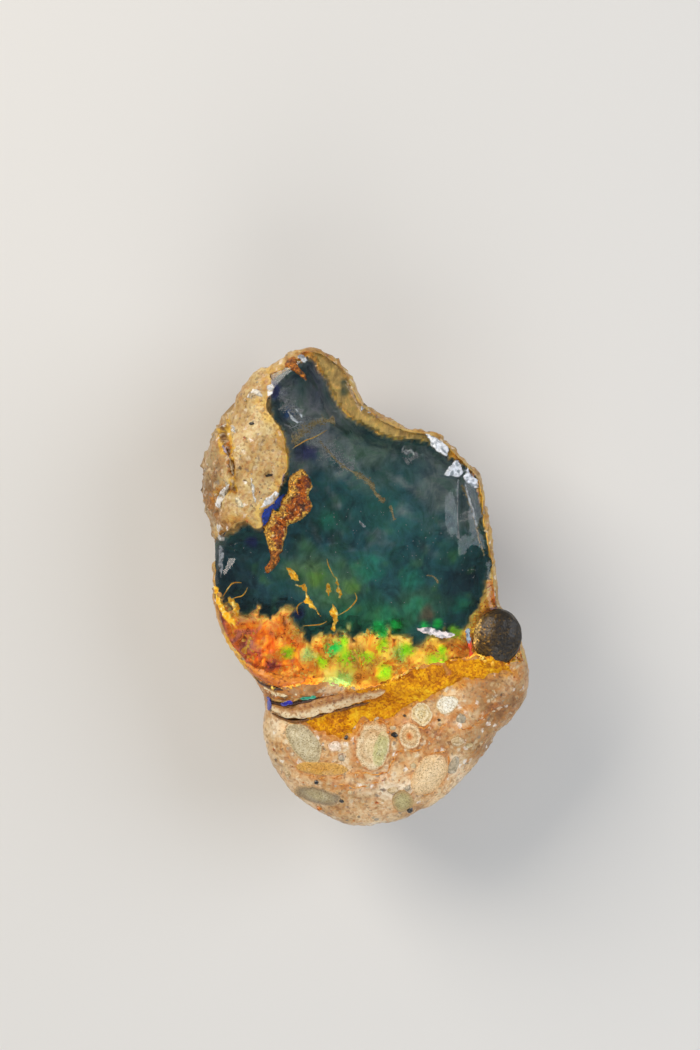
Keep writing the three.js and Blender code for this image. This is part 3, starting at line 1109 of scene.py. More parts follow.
goldThreads = [  # x, y and depth under the window, in mm
    [(-2.7, -2.8, 0.3), (-1.9, -2.4, 0.3), (-1.3, -1.9, 0.3), (-0.7, -1.2, 0.3), (-0.7, -0.8, 0.4),
     (-0.9, -0.4, 0.4)],
    [(-6.3, -3.9, 1.2), (-5.0, -3.8, 1.3), (-4.2, -3.7, 1.4), (-3.8, -3.4, 1.4)],
    [(-6.3, -1.4, 0.5), (-6.8, -1.6, 0.5), (-7.0, -2.2, 0.6), (-6.8, -2.7, 0.7)],
    [(-3.1, 1.3, 1.1), (-3.4, 1.9, 1.2), (-3.7, 2.5, 1.4), (-3.8, 3.1, 1.5)],
    [(-14.4, -1.6, 1.0), (-13.5, -0.9, 1.2), (-12.4, -0.8, 1.3), (-12.1, 0.1, 1.5)],
    [(-14.6, -0.9, 0.9), (-14.0, 0.4, 1.0), (-13.3, 0.7, 1.1), (-12.7, 0.6, 1.2)],
    [(-15.4, 0.0, 0.6), (-14.9, -1.6, 0.7), (-13.9, -3.0, 0.8), (-13.0, -3.9, 0.9)],
    [(-15.3, -0.6, 0.5), (-14.6, -2.2, 0.6), (-13.8, -3.6, 0.7), (-13.4, -4.9, 0.7)],
    [(-7.4, 14.6, 1.3), (-6.4, 15.4, 1.2), (-5.0, 15.8, 1.3), (-3.8, 16.6, 1.4)],
]


def makeGold():
    material = makeGrainyMaterial("limoniteLeafGolden", [
        (0.25, "#e09410"), (0.42, "#ffb81c"), (0.55, "#ffd040"), (0.75, "#ffeea0")],
        cloud=0.6, cell=0.25, cellShare=0.3, bump=0.7, roughness=0.45)
    bm = bmesh.new()
    for depth, loop in goldFlakes:
        def heightOf(x, y, edge, under=depth):
            lump = 0.2 * wave(x, y, 0.7, 81.0) + 0.12 * wave(x, y, 0.3, 83.0)
            return windowPlane(x, y) - under + lump + 0.12 * ease(edge, 0.0, 0.3)

        addCrust(bm, raggedLoop(loop, 0.2, 0.4), 0.08, 0.12, heightOf)
    for thread in goldThreads:
        addThread(bm, [(x, y, windowPlane(x, y) - under) for x, y, under in thread], 0.07)
    closePiece("gold_flakes", bm, material, "gold_flake")


makeRustCrust()
makeGold()
print("crusts and gold made")


# amber opal in the hollow, sugary and wet

def makeAmber():
    material = makeGrainyMaterial("amberOpalSugary", [
        (0.26, "#8a4600"), (0.38, "#b06400"), (0.48, "#d08400"), (0.58, "#eca600"),
        (0.74, "#ffd428")], cloud=2.4, cellShare=0.2, bump=0.4, roughness=0.6)

    def heightOf(x, y, edge):
        sugar = 0.22 * wave(x, y, 1.4, 91.0) + 0.08 * wave(x, y, 0.38, 93.0)
        rim = ease(inset(outline, x, y), 0.4, 1.6)
        return roughAt(x, y) - 0.15 + (0.35 * ease(edge, 0.0, 0.5) + sugar * ease(edge, 0.0, 0.3)) * rim

    bm = bmesh.new()
    addCrust(bm, raggedLoop(amberHollow["loop"], 0.5, 0.8), 0.15, 0.5, heightOf)
    closePiece("amber_opal", bm, material, "iron_stain")


# ledge of thin plates along the south-west of the stain

ledgePlates = [  # half width, lift, thickness, colour to the north and south, line
    (0.6, 0.45, 0.5, "#ec9430", "#d87414", [(-13.6, -7.2), (-11.4, -8.6), (-8.6, -9.6), (-6.0, -9.8),
     (-3.9, -9.9)]),
    (0.42, 0.2, 0.35, "#b88a48", "#f0dcb0", [(-11.0, -10.0), (-8.6, -10.9), (-6.4, -10.6),
     (-4.2, -10.2)]),
    (0.32, 0.05, 0.3, "#8a5a20", "#e0b468", [(-10.4, -11.1), (-8.6, -11.6), (-6.4, -11.3),
     (-4.6, -10.9)]),
    (0.85, 0.85, 0.45, "#b88448", "#ecd4a8", [(-9.8, -12.2), (-7.2, -12.8), (-4.2, -12.1),
     (-1.0, -11.3), (2.4, -10.6)]),
    # the last three are dark strips laid in the gaps between and under the plates: painted shadow
    (0.24, 0.3, 0.3, "#2c1404", "#5a3010", [(-12.0, -9.3), (-10.2, -10.1), (-8.2, -10.4), (-6.0, -10.3),
     (-3.6, -10.3)]),
    (0.26, 0.35, 0.3, "#241004", "#4c280c", [(-10.2, -11.6), (-8.6, -12.0), (-6.6, -11.8),
     (-4.6, -11.3), (-2.2, -10.8)]),
    (0.34, 0.25, 0.3, "#3c2008", "#8a5818", [(-9.6, -13.0), (-7.2, -13.7), (-4.2, -13.0), (-1.0, -12.2),
     (2.4, -11.4)]),
]


plateCells = {"x_segments": 90, "y_segments": 12}


def makeLedge():
    material = makePaintedMaterial("tuffPlateSplit", "plateTint", [
        (0.0, "#8a5024"), (0.15, "#d8b080"), (0.5, white)],
        cell=0.22, share=0.7, bump=0.6, roughness=0.45, coat=0.2)
    bm, tints = startTinted("plateTint")
    for number, (half, lift, thick, north, south, line) in enumerate(ledgePlates):
        curve = smoothLine(line, 12)
        verts = bmesh.ops.create_grid(bm, size=0.5, **plateCells)["verts"]
        for v in verts:
            along, across = v.co.x + 0.5, v.co.y * 2
            x, y, wayX, wayY = pointOn(curve, along)
            taper = math.sin(math.pi * min(1, max(0, along))) ** 0.45
            ragged = 1 + 0.35 * wave(along * 14, number * 3 + across, 1.0, 95.0)
            off = across * half * taper * ragged
            x, y = insideOf(x - wayY * off, y + wayX * off)
            z = windowAt(x, y) + lift * taper - 0.35 * across * across
            z += 0.2 * wave(x, y, 0.8, 97.0) + 0.14 * wave(x, y, 0.3, 98.0) - 0.25 * across
            v.co = Vector((x, y, z)) * mm
            northern = ease(across + 0.4 * wave(x, y, 0.6, 99.0), -0.5, 0.2)
            v[tints] = mixPaint(paint(south), paint(north), northern)
        closeSheet(bm, verts, thick)
    closePiece("ledge_plates", bm, material, "host_rock")


makeAmber()
makeLedge()
print("amber and ledge made")


# pebbles cut through in the rock: rings from the middle outwards

clasts = [  # x, y, half width, half length, turn, rings
    (-6.2, -16.1, 1.4, 2.4, 0.7, [(0.0, "#cdbf9c"), (0.6, "#d4c7a4"), (0.88, "#b8a884"),
     (1.0, "#e0c898")]),
    (-3.0, -16.4, 0.7, 0.52, 0.1, [(0.0, "#fbeee0"), (1.0, "#f0d4bc")]),
    (1.0, -16.4, 1.85, 2.6, -0.1, [(0.0, "#e2c898"), (0.4, "#ecd4aa"), (0.62, "#d8b688"),
     (0.8, "#f0dcb6"), (0.93, "#dcb888"), (1.0, "#c87c30")]),
    (4.8, -15.4, 1.25, 1.4, 0.0, [(0.0, "#c8641c"), (0.15, "#d88c40"), (0.4, "#e8cc9c"),
     (0.6, "#cfa878"), (0.78, "#f2dfba"), (0.93, "#d8ae7c"), (1.0, "#c87c34")]),
    (6.1, -13.1, 1.15, 1.2, 0.5, [(0.0, "#f0e4bc"), (0.3, "#dcc690"), (0.5, "#f4e8c4"),
     (0.7, "#d8bc84"), (0.9, "#f2e2bc"), (1.0, "#d49c58")]),
    (8.7, -12.1, 1.2, 0.9, 0.5, [(0.0, "#fffcf0"), (0.85, "#fbf4e0"), (1.0, "#e4c894")]),
    (6.9, -19.4, 1.6, 2.5, -0.6, [(0.0, "#f8dcb0"), (0.8, "#f4d2a0"), (1.0, "#e8bc84")]),
    (4.1, -22.3, 1.1, 1.3, 0.3, [(0.0, "#ccc088"), (0.6, "#b8a870"), (1.0, "#c8a068")]),
    (-4.8, -21.7, 2.6, 0.95, -0.2, [(0.0, "#c4b890"), (0.5, "#b4a480"), (0.8, "#9c8664"),
     (1.0, "#d0ac7c")]),
    (-2.3, -17.4, 0.4, 0.35, 0.0, [(0.0, "#c9a890"), (0.6, "#b08c70"), (1.0, "#e8d2b4")]),
    (-4.4, -18.7, 2.7, 0.7, -0.05, [(0.0, "#d0963c"), (0.7, "#dca850"), (1.0, "#e0b060")]),
]
# green middle of the large pebble
greenHeart = (1.75, -16.7, 0.85, 1.9, -0.25, [(0.0, "#d8d2a0"), (0.6, "#c6c084"), (1.0, "#e8d8ac")])


def ringPaint(rings, part):
    for (near, nearHex), (far, farHex) in zip(rings, rings[1:]):
        if part <= far:
            return mixPaint(paint(nearHex), paint(farHex), (part - near) / (far - near))
    return paint(rings[-1][1])


def addClast(bm, tints, place, rings, rise, swing, seed):
    midX, midY, reachX, reachY, turn = place
    spin = Matrix.Rotation(turn, 2)
    for v in bmesh.ops.create_icosphere(bm, subdivisions=5, radius=1.0)["verts"]:
        ragged = 1 + 0.12 * noise.noise(Vector((v.co.x * 1.6, v.co.y * 1.6, midX)))
        part = math.hypot(v.co.x, v.co.y)
        flat = spin @ Vector((v.co.x * reachX, v.co.y * reachY)) * ragged
        x, y = midX + flat.x, midY + flat.y
        v[tints] = ringPaint(rings, min(1.0, part + swing * wave(x, y, 0.5, seed)))
        lift = rise * math.sqrt(max(0.0, v.co.z)) if v.co.z > 0 else 0.9 * v.co.z
        v.co = Vector((x, y, roughAt(x, y) + lift)) * mm


def makeClasts():
    material = makePaintedMaterial("pebbleCutThrough", "clastTint", [
        (0.0, "#94846a"), (0.08, "#c4b698"), (0.35, "#f0e8d8"), (0.8, white),
        (1.0, (1.2, 1.2, 1.15, 1))], cell=0.11, share=0.8, bump=0.35, roughness=0.4, coat=0.2)
    bm, tints = startTinted("clastTint")
    for *place, rings in clasts:
        addClast(bm, tints, place, rings, 0.14, 0.12, 101.0)
    *place, rings = greenHeart
    addClast(bm, tints, place, rings, 0.2, 0.35, 103.0)
    closePiece("cut_pebbles", bm, material, "clast")


# the dark pebble on the east side, glassy and specked; painted lighter towards its west side and top as
# painted light, with a pale painted highlight along its west rim

darkPebble = {"middle": (13.95, -5.1), "reach": (2.5, 3.0, 1.5), "turn": -0.2}
pebblePaints = {"dark": paint("#241a04"), "litOlive": paint("#64480c"), "rim": paint("#d8b470")}


def makeDarkPebble():
    material = makePaintedMaterial("glassyPebbleOlive", "pebbleTint", [
        # cells near the top of the ramp are pale specks; the brightest, past white, are painted glints
        (0.0, "#4a3c1c"), (0.25, "#a08850"), (0.6, white), (0.9, (1.5, 1.4, 1.0, 1)),
        (1.0, (4.5, 4.0, 2.8, 1))], cell=0.2, share=0.85, bump=0.4, roughness=0.42, coat=0.05)
    bm, tints = startTinted("pebbleTint")
    spin = Matrix.Rotation(darkPebble["turn"], 3, "Z")
    midX, midY = darkPebble["middle"]
    middle = Vector((midX, midY, windowAt(midX, midY)))
    for v in bmesh.ops.create_icosphere(bm, subdivisions=6, radius=1.0)["verts"]:
        # lighter towards the west side and top: painted light; the pale rim on the west: painted
        # highlight
        v[tints] = layPaints(pebblePaints["dark"], pebblePaints, [
            ("litOlive", ease(-v.co.x + 0.4 * v.co.z, 0.2, 1.2)), ("rim", ease(-v.co.x, 0.72, 0.93))])
        ragged = 1 + 0.05 * noise.noise(v.co * 2.2) + 0.02 * noise.noise(v.co * 6)
        shaped = Vector([c * r for c, r in zip(v.co, darkPebble["reach"])]) * ragged
        v.co = (middle + spin @ shaped) * mm
    closePiece("dark_pebble", bm, material, "dark_pebble")


makeClasts()
makeDarkPebble()
print("pebbles made")


# grains scattered over the broken rock

grainKinds = [
    {"name": "grains_pebble", "count": 110, "size": (0.25, 0.85), "seed": 13, "slot": "clast",
     "stops": [(0.3, "#a88c60"), (0.45, "#c4a87c"), (0.6, "#dcc49c"), (0.75, "#988464")], "coat": 0.1},
    {"name": "grains_white", "count": 900, "size": (0.04, 0.16), "seed": 3, "slot": "clast",
     "stops": [(0.3, "#bca476"), (0.7, "#e4d0a6")], "coat": 0.2},
    {"name": "grains_black", "count": 420, "size": (0.05, 0.2), "seed": 5, "slot": "dark_pebble",
     "stops": [(0.3, "#0c0a08"), (0.7, "#2c261e")], "coat": 0.6},
    {"name": "grains_rust", "count": 700, "size": (0.05, 0.22), "seed": 7, "slot": "iron_stain",
     "stops": [(0.3, "#8a3a0c"), (0.7, "#d8842c")], "coat": 0.2},
    {"name": "grains_grey", "count": 900, "size": (0.06, 0.28), "seed": 9, "slot": "clast",
     "stops": [(0.3, "#8c8068"), (0.7, "#bcac90")], "coat": 0.3},
]
grainSize = {
    "small": 0.3,  # mm, under which grains are sharp and stand proud
    "thick": 0.22,  # mm, half the thickness of the grains placed one by one
}
placedGrains = {  # single grains that stand out: x, y, half length, half width
    "grains_pebble": [(3.0, -21.0, 0.6, 0.4), (9.8, -15.9, 0.7, 0.5), (-7.9, -19.2, 0.4, 0.6)],
    "grains_black": [(-4.9, -20.2, 0.24, 0.24), (-2.3, -22.2, 0.27, 0.2), (4.85, -23.2, 0.35, 0.42),
                     (3.2, -15.3, 0.36, 0.34), (-11.6, 17.2, 0.32, 0.17), (-9.8, 11.8, 0.4, 0.17),
                     (4.3, -13.3, 0.15, 0.15), (7.9, -13.7, 0.18, 0.14), (-1.8, -15.5, 0.2, 0.3)],
    "grains_rust": [(-4.6, -23.1, 0.32, 0.3), (1.4, -22.4, 0.25, 0.14), (2.6, -15.0, 0.2, 0.2)],
    "grains_grey": [(10.2, -13.6, 0.55, 0.55), (9.4, -18.4, 0.6, 1.1), (-2.3, -17.6, 0.35, 0.35),
                    (4.6, -20.8, 0.3, 0.3)],
    "grains_white": [(3.1, -14.6, 0.32, 0.3), (5.2, -18.4, 0.3, 0.3), (-1.4, -21.2, 0.25, 0.22),
                     (11.0, -16.4, 0.5, 0.3)],
}


def scatterSpots(count, rng):
    # places on the rind of the rock, evenly by area
    mesh = hostRock.data
    rind = [p for p in mesh.polygons if p.material_index == 0 and p.center.z > 0.8 * mm]
    for face in rng.choices(rind, weights=[p.area for p in rind], k=count):
        shares = [rng.random() for _ in face.vertices]
        place = sum((mesh.vertices[i].co * s for i, s in zip(face.vertices, shares)), Vector())
        yield place / sum(shares), face.normal.copy()


def makeGrains(kind):
    material = makeGrainyMaterial(kind["name"] + "Crystal", kind["stops"], cloud=0.4, roughness=0.3,
                                  ior=1.5, coat=kind["coat"])
    rng = random.Random(kind["seed"])
    least, most = kind["size"]
    bm = bmesh.new()
    for place, normal in scatterSpots(kind["count"], rng):
        size = least + (most - least) * rng.random() ** 4
        tilt = normal.to_track_quat("Z", "Y") @ Quaternion((0, 0, 1), rng.uniform(0, 6))
        radii = (size, size * rng.uniform(0.45, 0.95), size * 0.5)
        small = size < grainSize["small"]
        sunk = (0.25 if small else 0.42) * size
        addChip(bm, (place - normal * sunk * mm) / mm, radii, tilt, rng.uniform(0, 99),
                detail=1 if small else 2, jitter=0.9 if small else 0.4)
    for x, y, long, wide in placedGrains[kind["name"]]:
        addChip(bm, (x, y, roughAt(x, y) + 0.03), (long, wide, grainSize["thick"]),
                rng.uniform(-0.4, 0.4), rng.uniform(0, 99), detail=2, jitter=0.35)
    closePiece(kind["name"], bm, material, kind["slot"], smooth=False)


for grainKind in grainKinds:
    makeGrains(grainKind)
print("grains made")


def makeVeins():
    material = makeGrainyMaterial("ironVeinOrange", [
        (0.3, "#b8640c"), (0.5, "#d88820"), (0.7, "#e8b060")],
        bump=0.4, roughness=0.4, ior=1.45, coat=0.2)
    bm = bmesh.new()
    for line in veinLines:
        points = []
        for x, y in smoothLine(line, 8):
            x, y = x + 0.3 * wave(x, y, 0.7, 111.0), y + 0.3 * wave(x, y, 0.7, 113.0)
            points.append((x, y, roughAt(x, y) - 0.06 + 0.12 * wave(x, y, 0.5, 115.0)))
        addThread(bm, points, 0.1)
    closePiece("iron_veins", bm, material, "iron_stain")


# broken facets of opal along the east rim, painted white and pale grey as painted highlights and
# reflections of the lamps on their faces

glintChips = [  # lift, colour, outline in mm
    (0.3, "#f6f8fc", [(6.5, 16.2), (7.3, 16.0), (8.0, 15.6), (8.9, 14.9), (8.7, 13.8), (8.0, 14.1),
     (7.2, 14.7), (6.9, 15.5)]),
    (0.2, "#dfe3ea", [(8.4, 11.9), (9.2, 11.7), (9.9, 11.6), (10.4, 12.1), (10.1, 13.0), (9.7, 13.5),
     (9.0, 12.8)]),
    (0.2, "#e6eaf2", [(10.4, 11.6), (10.7, 12.3), (10.9, 12.9), (11.2, 12.0), (11.9, 11.4),
     (12.1, 10.6), (11.4, 10.6), (10.7, 11.1)]),
    (0.1, "#f0f0f0", [(-1.3, 22.5), (-1.0, 22.4), (-0.9, 21.7), (-1.2, 21.6)]),
    (0.1, "#f0f0f0", [(-0.9, 20.9), (-0.3, 20.9), (-0.3, 20.5), (-0.8, 20.4)]),
    (0.1, "#e8e8e8", [(0.2, 20.0), (0.6, 19.7), (0.8, 18.9), (0.5, 18.9), (0.3, 19.4)]),
    (0.1, "#e8e4dc", [(5.2, 16.7), (5.9, 16.4), (5.7, 16.2), (5.3, 16.4)]),
    (0.1, "#e8e4dc", [(4.0, 17.1), (4.4, 17.0), (4.3, 16.7), (4.0, 16.8)]),
    (0.1, "#e0e4ea", [(-6.9, 24.3), (-6.3, 24.4), (-5.8, 23.8), (-6.4, 23.6)]),
    (0.2, "#f8ecea", [(5.5, -4.1), (6.9, -4.0), (8.3, -4.4), (9.6, -4.8), (8.7, -5.2), (7.2, -4.9),
     (6.1, -4.6)]),
    (0.05, "#a8b4c0", [(-15.1, 4.3), (-14.7, 4.2), (-14.6, 2.8), (-14.8, 1.2), (-15.1, 1.9)]),
    (0.05, "#dfe8f0", [(-0.4, 7.1), (-0.1, 6.9), (0.2, 6.4), (0.0, 6.4), (-0.3, 6.7)]),
    (0.04, "#d4dce4", [(-7.9, 18.6), (-7.6, 17.8), (-7.0, 17.3), (-6.3, 17.4), (-6.9, 17.6),
     (-7.4, 18.1)]),
    (0.04, "#e8f0f4", [(-7.0, 18.9), (-6.5, 18.3), (-6.3, 17.8), (-6.6, 17.9), (-6.9, 18.4)]),
    (0.03, "#a8b0b0", [(4.2, 14.2), (4.6, 14.5), (5.2, 14.4), (5.5, 13.8), (5.2, 13.9), (4.9, 14.2),
     (4.5, 13.9)]),
    (0.03, "#aab2b6", [(9.7, 11.0), (9.95, 10.9), (9.9, 8.0), (10.1, 5.4), (9.95, 5.3), (9.75, 8.0)]),
    (0.03, "#bcc2c4", [(10.6, 10.6), (10.8, 10.6), (11.5, 8.4), (11.9, 6.6), (11.7, 6.6), (11.2, 8.2)]),
]
patchShards = [  # crystal faces on the rock patch, pale in their own colour and brightened to near white as painted highlights: lift, colour, outline
    (0.2, "#f4f2ee", [(-10.1, 21.3), (-9.6, 21.4), (-9.3, 20.9), (-9.6, 20.2), (-10.0, 20.0),
     (-10.1, 20.6)]),
    (0.2, "#efe6d4", [(-12.3, 20.2), (-11.5, 20.9), (-10.7, 20.6), (-10.5, 19.9), (-11.2, 20.2),
     (-11.6, 19.8)]),
    (0.15, "#eee8dc", [(-14.0, 17.2), (-13.4, 16.9), (-13.3, 16.2), (-13.9, 16.4)]),
    (0.35, "#f6f4f0", [(-15.6, 8.7), (-15.1, 10.0), (-14.0, 11.0), (-14.2, 10.0), (-14.6, 9.2),
     (-15.0, 8.3)]),
    (0.3, "#f8f6f2", [(-10.7, 8.5), (-10.1, 9.4), (-9.1, 10.2), (-8.9, 9.6), (-9.9, 8.6)]),
    (0.2, "#f0e8d8", [(-11.8, 11.2), (-11.5, 11.3), (-11.2, 9.6), (-11.0, 8.7), (-11.4, 9.2)]),
    (0.25, "#f4f0e8", [(-16.0, 5.6), (-15.6, 6.7), (-14.6, 6.4), (-15.1, 5.9)]),
    (0.7, "#b0a4c0", [(-14.8, 15.1), (-14.4, 14.9), (-14.0, 13.8), (-14.5, 14.2)]),
    (0.5, "#b4ac9c", [(-14.0, 13.6), (-13.6, 13.2), (-13.4, 11.8), (-13.8, 12.2)]),
    (0.2, "#f0dcb4", [(-8.5, 23.3), (-7.6, 23.6), (-7.3, 23.0), (-8.2, 22.8)]),
    (0.2, "#ecdcb4", [(-13.3, 9.6), (-12.6, 9.2), (-12.4, 8.4), (-13.1, 8.6)]),
]


def makeSplinters(name, chips, groundAt, slot, shadeHex, margin):
    # conchoidal splinters and crystal faces, painted white and pale grey as painted highlights and
    # reflections, with darker patches between them
    material = makePaintedMaterial(name + "PaintedGlint", "splinterTint", [
        (0.0, "#a8acb0"), (0.3, "#dcdee0"), (0.6, white), (1.0, white)],
        cell=0.3, share=0.9, bump=0.6, roughness=0.2, coat=0.5)
    bm, tints = startTinted("splinterTint")
    for rise, hexText, chip in chips:
        def heightOf(x, y, edge, lift=rise):
            facet = noise.voronoi(Vector((x / 0.7, y / 0.7, 5.0)))[0][0]
            return groundAt(x, y) - 0.08 + lift * ease(edge, 0.0, 0.15) * (0.4 + 1.2 * facet)

        loop = [insideOf(x, y, margin) for x, y in raggedLoop(chip, 0.16, 0.4)]
        for v in addCrust(bm, loop, 0.09, 0.25, heightOf):
            shade = ease(wave(v.co.x / mm, v.co.y / mm, 0.5, 105.0), 0.1, 0.35)
            v[tints] = mixPaint(paint(hexText), paint(shadeHex), 0.8 * shade)
    closePiece(name, bm, material, slot)


# milky specks and crumbs that hang in the window

veilLines = [  # kind, count, reach to each side, depths under the window, line
    ("milk", 3600, 1.6, (0.8, 3.2), [(-9.0, 20.6), (-7.0, 18.2), (-5.2, 16.0), (-3.4, 14.2),
     (-1.0, 12.4)]),
    ("tan", 900, 0.7, (0.8, 1.8), [(-7.6, 15.2), (-5.4, 17.2), (-3.0, 17.6)]),
    ("tan", 1100, 0.26, (1.2, 1.7), [(-4.6, 15.4), (-2.4, 13.0), (-0.6, 11.9), (0.7, 11.0), (1.3, 9.9),
     (2.2, 9.1)]),
    ("tan", 150, 0.15, (1.2, 1.6), [(2.8, 8.6), (3.0, 8.0), (3.2, 7.2)]),
    ("milk", 260, 0.25, (0.6, 1.0), [(-8.9, 17.4), (-7.2, 16.9), (-6.6, 18.2), (-7.6, 19.2),
     (-8.8, 18.6)]),
    ("milk", 420, 0.5, (0.4, 1.4), [(4.0, 14.4), (5.6, 14.0), (4.4, 13.2)]),
    ("milk", 500, 0.1, (0.2, 0.5), [(9.9, 11.4), (9.8, 8.4), (9.9, 5.2)]),
    ("tan", 380, 0.2, (0.3, 1.2), [(10.3, 10.8), (11.2, 8.6), (11.9, 5.6), (12.6, 3.4)]),
    ("milk", 260, 1.0, (0.8, 2.4), [(10.6, 8.0), (11.0, 7.2)]),
    ("tan", 60, 0.1, (1.0, 1.3), [(6.6, 1.4), (7.4, 1.2), (7.8, 0.6)]),
    ("milk", 160, 9.0, (0.3, 4.5), [(-14.0, 4.0), (0.0, 6.0), (12.0, 2.0)]),
]
veilKinds = {
    "milk": {"name": "milk_specks", "paints": ("#80858c", "#c8ccd0"), "size": (0.018, 0.05),
             "seed": 21},
    "tan": {"name": "tan_specks", "paints": ("#8a7850", "#d4c090"), "size": (0.02, 0.065),
            "seed": 23},
}


def makeVeil(key):
    kind = veilKinds[key]
    dark, light = kind["paints"]
    material = makeGrainyMaterial(kind["name"] + "Crumb", [(0.3, dark), (0.7, light)], bump=0.1)
    rng = random.Random(kind["seed"])
    bm = bmesh.new()
    for veilKey, count, reach, depths, points in veilLines:
        if veilKey != key:
            continue
        line = smoothLine(points, 12)
        for _ in range(count):
            x, y, wayX, wayY = pointOn(line, rng.random())
            off = reach * rng.gauss(0, 0.5) * (0.6 + wave(x, y, 0.8, 121.0))
            x, y = x - wayY * off, y + wayX * off
            under = rng.uniform(*depths)
            if inset(darkWindow, x, y) < 0.3 + 0.25 * under:
                continue
            size = rng.uniform(*kind["size"])
            addChip(bm, (x, y, windowAt(x, y) - under), (size * rng.uniform(1, 2.2), size, size * 0.5),
                    rng.uniform(0, 6), rng.uniform(0, 99), jitter=0.5)
    closePiece(kind["name"], bm, material, "opal", smooth=False)


# flakes of colour hung in the window: blue beside the rust crust, green lower down

flashSheets = [  # depth under the window, colour, outline
    (0.15, "#1c5cf0", [(-10.9, 8.1), (-10.1, 8.7), (-9.0, 9.6), (-8.1, 9.8), (-8.3, 9.0), (-9.0, 8.3),
     (-9.7, 7.6), (-10.0, 6.9), (-10.6, 6.4)]),
    (-0.4, "#2c2890", [(-10.2, -11.5), (-9.8, -11.4), (-9.6, -12.4), (-10.0, -12.7)]),
    (-0.7, "#302c9c", [(-8.6, -11.9), (-7.6, -11.6), (-7.4, -12.0), (-8.4, -12.2)]),
    (-0.5, "#2c9474", [(-6.6, -11.3), (-5.2, -11.1), (-5.0, -11.4), (-6.2, -11.6)]),
    (-0.1, "#e8501c", [(10.9, -5.6), (11.3, -5.6), (11.4, -7.2), (11.0, -7.1)]),
    # grey-blue sliver: a painted reflection on a chipped face
    (-0.1, "#9aa8b4", [(10.6, -4.4), (11.1, -4.2), (11.2, -5.6), (10.8, -5.6)]),
]


def makeFlashSheets():
    material = makePaintedMaterial("playOfColourSheet", "sheetTint", [
        (0.0, "#707898"), (0.4, white), (1.0, (1.5, 1.6, 1.6, 1))],
        cell=0.3, share=0.6, bump=0.2, roughness=0.25, coat=0.5)
    bm, tints = startTinted("sheetTint")
    for depth, hexText, loop in flashSheets:
        def heightOf(x, y, edge, under=depth):
            return windowAt(x, y) - under + 0.1 * wave(x, y, 0.5, 131.0)

        for v in addCrust(bm, smoothLoop(loop), 0.12, 0.12, heightOf):
            v[tints] = paint(hexText)
    closePiece("flash_sheets", bm, material, "colour_flash")


# crumbs that stand on the stained wall under the opal, and sparks of colour in it

crumbKinds = [
    {"name": "crumbs_gold", "count": 600, "size": (0.05, 0.24), "seed": 31,
     "paints": ("#ffb428", "#ffe470"), "lift": 0.15},
    {"name": "crumbs_rust", "count": 130, "size": (0.04, 0.16), "seed": 33,
     "paints": ("#c46c14", "#f0a040"), "lift": 0.05},
]


crumbReach = {"x": (-16.0, 14.5), "y": (-10.5, -1.5)}  # mm, the stained wall and a little round it
sparkKind = {"count": 26, "size": (0.03, 0.1), "seed": 41, "keys": ("green", "lime", "pale", "teal")}


def offWall(x, y, intoWindow, overRim):
    # True off the stained wall, give or take so many mm
    return (windowEdge(x, y) > intoWindow or inset(southRim, x, y) > overRim
            or inset(outline, x, y) < 0.6)


def makeCrumbs(kind):
    dark, light = kind["paints"]
    material = makeGrainyMaterial(kind["name"] + "Limonite", [(0.3, dark), (0.7, light)])
    rng = random.Random(kind["seed"])
    least, most = kind["size"]
    bm = bmesh.new()
    placed = 0
    while placed < kind["count"]:
        x, y = rng.uniform(*crumbReach["x"]), rng.uniform(*crumbReach["y"])
        if offWall(x, y, 0.0, 0.3):
            continue
        thin = 0.3 * max(0.0, windowEdge(x, y) + 0.6)
        if wave(x, y, 1.6, kind["seed"]) - thin < rng.uniform(-0.1, 0.4):
            continue
        placed += 1
        size = least + (most - least) * rng.random() ** 3
        addChip(bm, (x, y, wallAt(x, y) + kind["lift"] * rng.random()),
                (size * rng.uniform(1, 1.8), size, size * 0.8), rng.uniform(0, 6),
                rng.uniform(0, 99), jitter=0.8)
    closePiece(kind["name"], bm, material, "iron_stain")


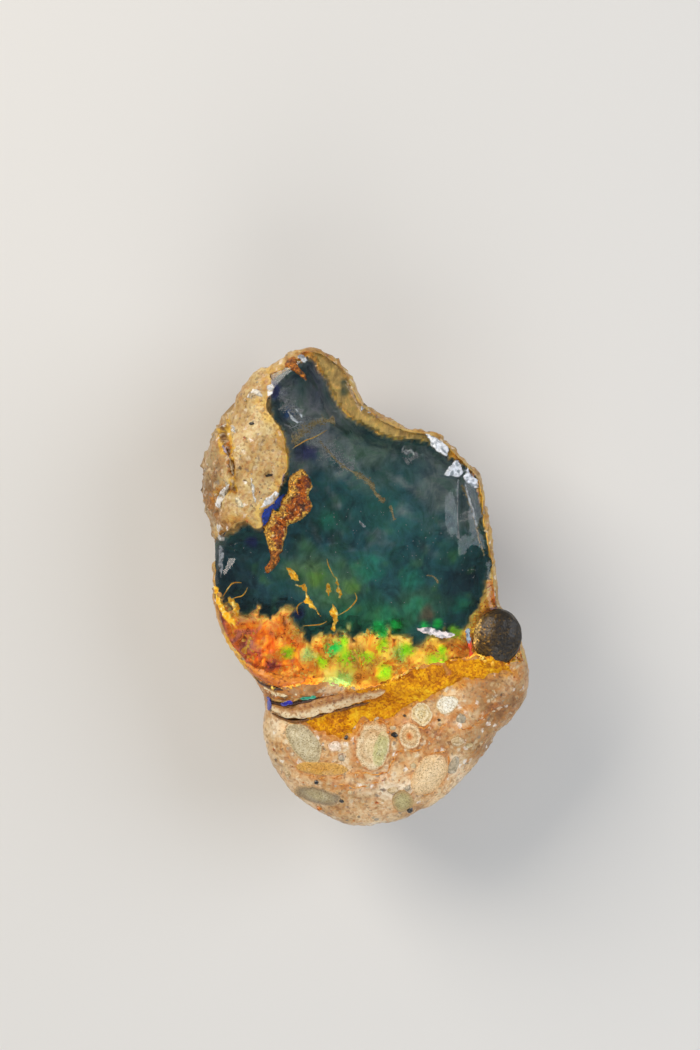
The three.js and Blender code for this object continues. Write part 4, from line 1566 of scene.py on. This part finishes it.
def makeSparks():
    material = makePaintedMaterial("pinfireSpark", "sparkTint", [
        (0.0, "#a0b890"), (0.4, white), (1.0, (1.4, 1.4, 1.2, 1))],
        cell=0.3, share=0.4, bump=0.1, roughness=0.4, coat=0.2)
    rng = random.Random(sparkKind["seed"])
    bm, tints = startTinted("sparkTint")
    for midX, midY, reach, key in flashes:
        if key not in sparkKind["keys"]:
            continue
        for _ in range(sparkKind["count"]):
            x, y = rng.gauss(midX, reach * 0.5), rng.gauss(midY, reach * 0.5)
            if offWall(x, y, 0.3, 0.2):
                continue
            size = rng.uniform(*sparkKind["size"])
            for v in addChip(bm, (x, y, wallAt(x, y) + 0.1 * rng.random()),
                             (size * 1.3, size, size * 0.4), rng.uniform(0, 6), rng.uniform(0, 99)):
                v[tints] = flashPaints[key]
    closePiece("colour_sparks", bm, material, "colour_flash")


for crumbKind in crumbKinds:
    makeCrumbs(crumbKind)
makeSparks()
print("crumbs and sparks made")
makeVeins()
makeSplinters("opal_splinters", glintChips, windowAt, "opal", "#5c6c74", 0.3)
makeSplinters("patch_crystals", patchShards, roughAt, "clast", "#b0925c", 1.1)
makeVeil("milk")
makeVeil("tan")
makeFlashSheets()
print("veins, splinters, specks and flashes made")


# floor and soft studio light

studio = {
    "floorSide": 900.0,
    "floorColour": "#dcdad6",
    "worldColour": "#e8eef4",
    "worldStrength": 0.3,
}
lamps = [
    {"name": "key", "place": (-230, 190, 260), "side": 220, "power": 1.1, "colour": "#fff6ea"},
    {"name": "fill", "place": (270, 60, 240), "side": 260, "power": 0.6, "colour": "#eef4ff"},
    {"name": "back", "place": (20, -300, 220), "side": 240, "power": 0.45, "colour": "#ffffff"},
]


def makeFloor():
    bm = bmesh.new()
    bmesh.ops.create_grid(bm, x_segments=1, y_segments=1, size=studio["floorSide"] * mm / 2)
    material, tree = startMaterial("floorPaper")
    finishMaterial(tree, {"Base Color": paint(studio["floorColour"]), "Roughness": 0.8})
    floor = addObject("floor", makeMesh("floor", bm, [material]))


def makeLights():
    for lamp in lamps:
        data = bpy.data.lights.new(lamp["name"], "AREA")
        data.shape = "SQUARE"
        data.size = lamp["side"] * mm
        data.energy = lamp["power"]
        data.color = paint(lamp["colour"])[:3]
        light = addObject(lamp["name"], data)
        light.location = Vector(lamp["place"]) * mm
        light.rotation_euler = (-light.location).to_track_quat("-Z", "Y").to_euler()
    world = bpy.data.worlds.new("studio")
    world.use_nodes = True
    sky = world.node_tree.nodes["Background"].inputs
    sky["Color"].default_value = paint(studio["worldColour"])
    sky["Strength"].default_value = studio["worldStrength"]
    bpy.context.scene.world = world


makeFloor()
makeLights()
bpy.context.scene.view_settings.view_transform = "Standard"
print("floor and light made")
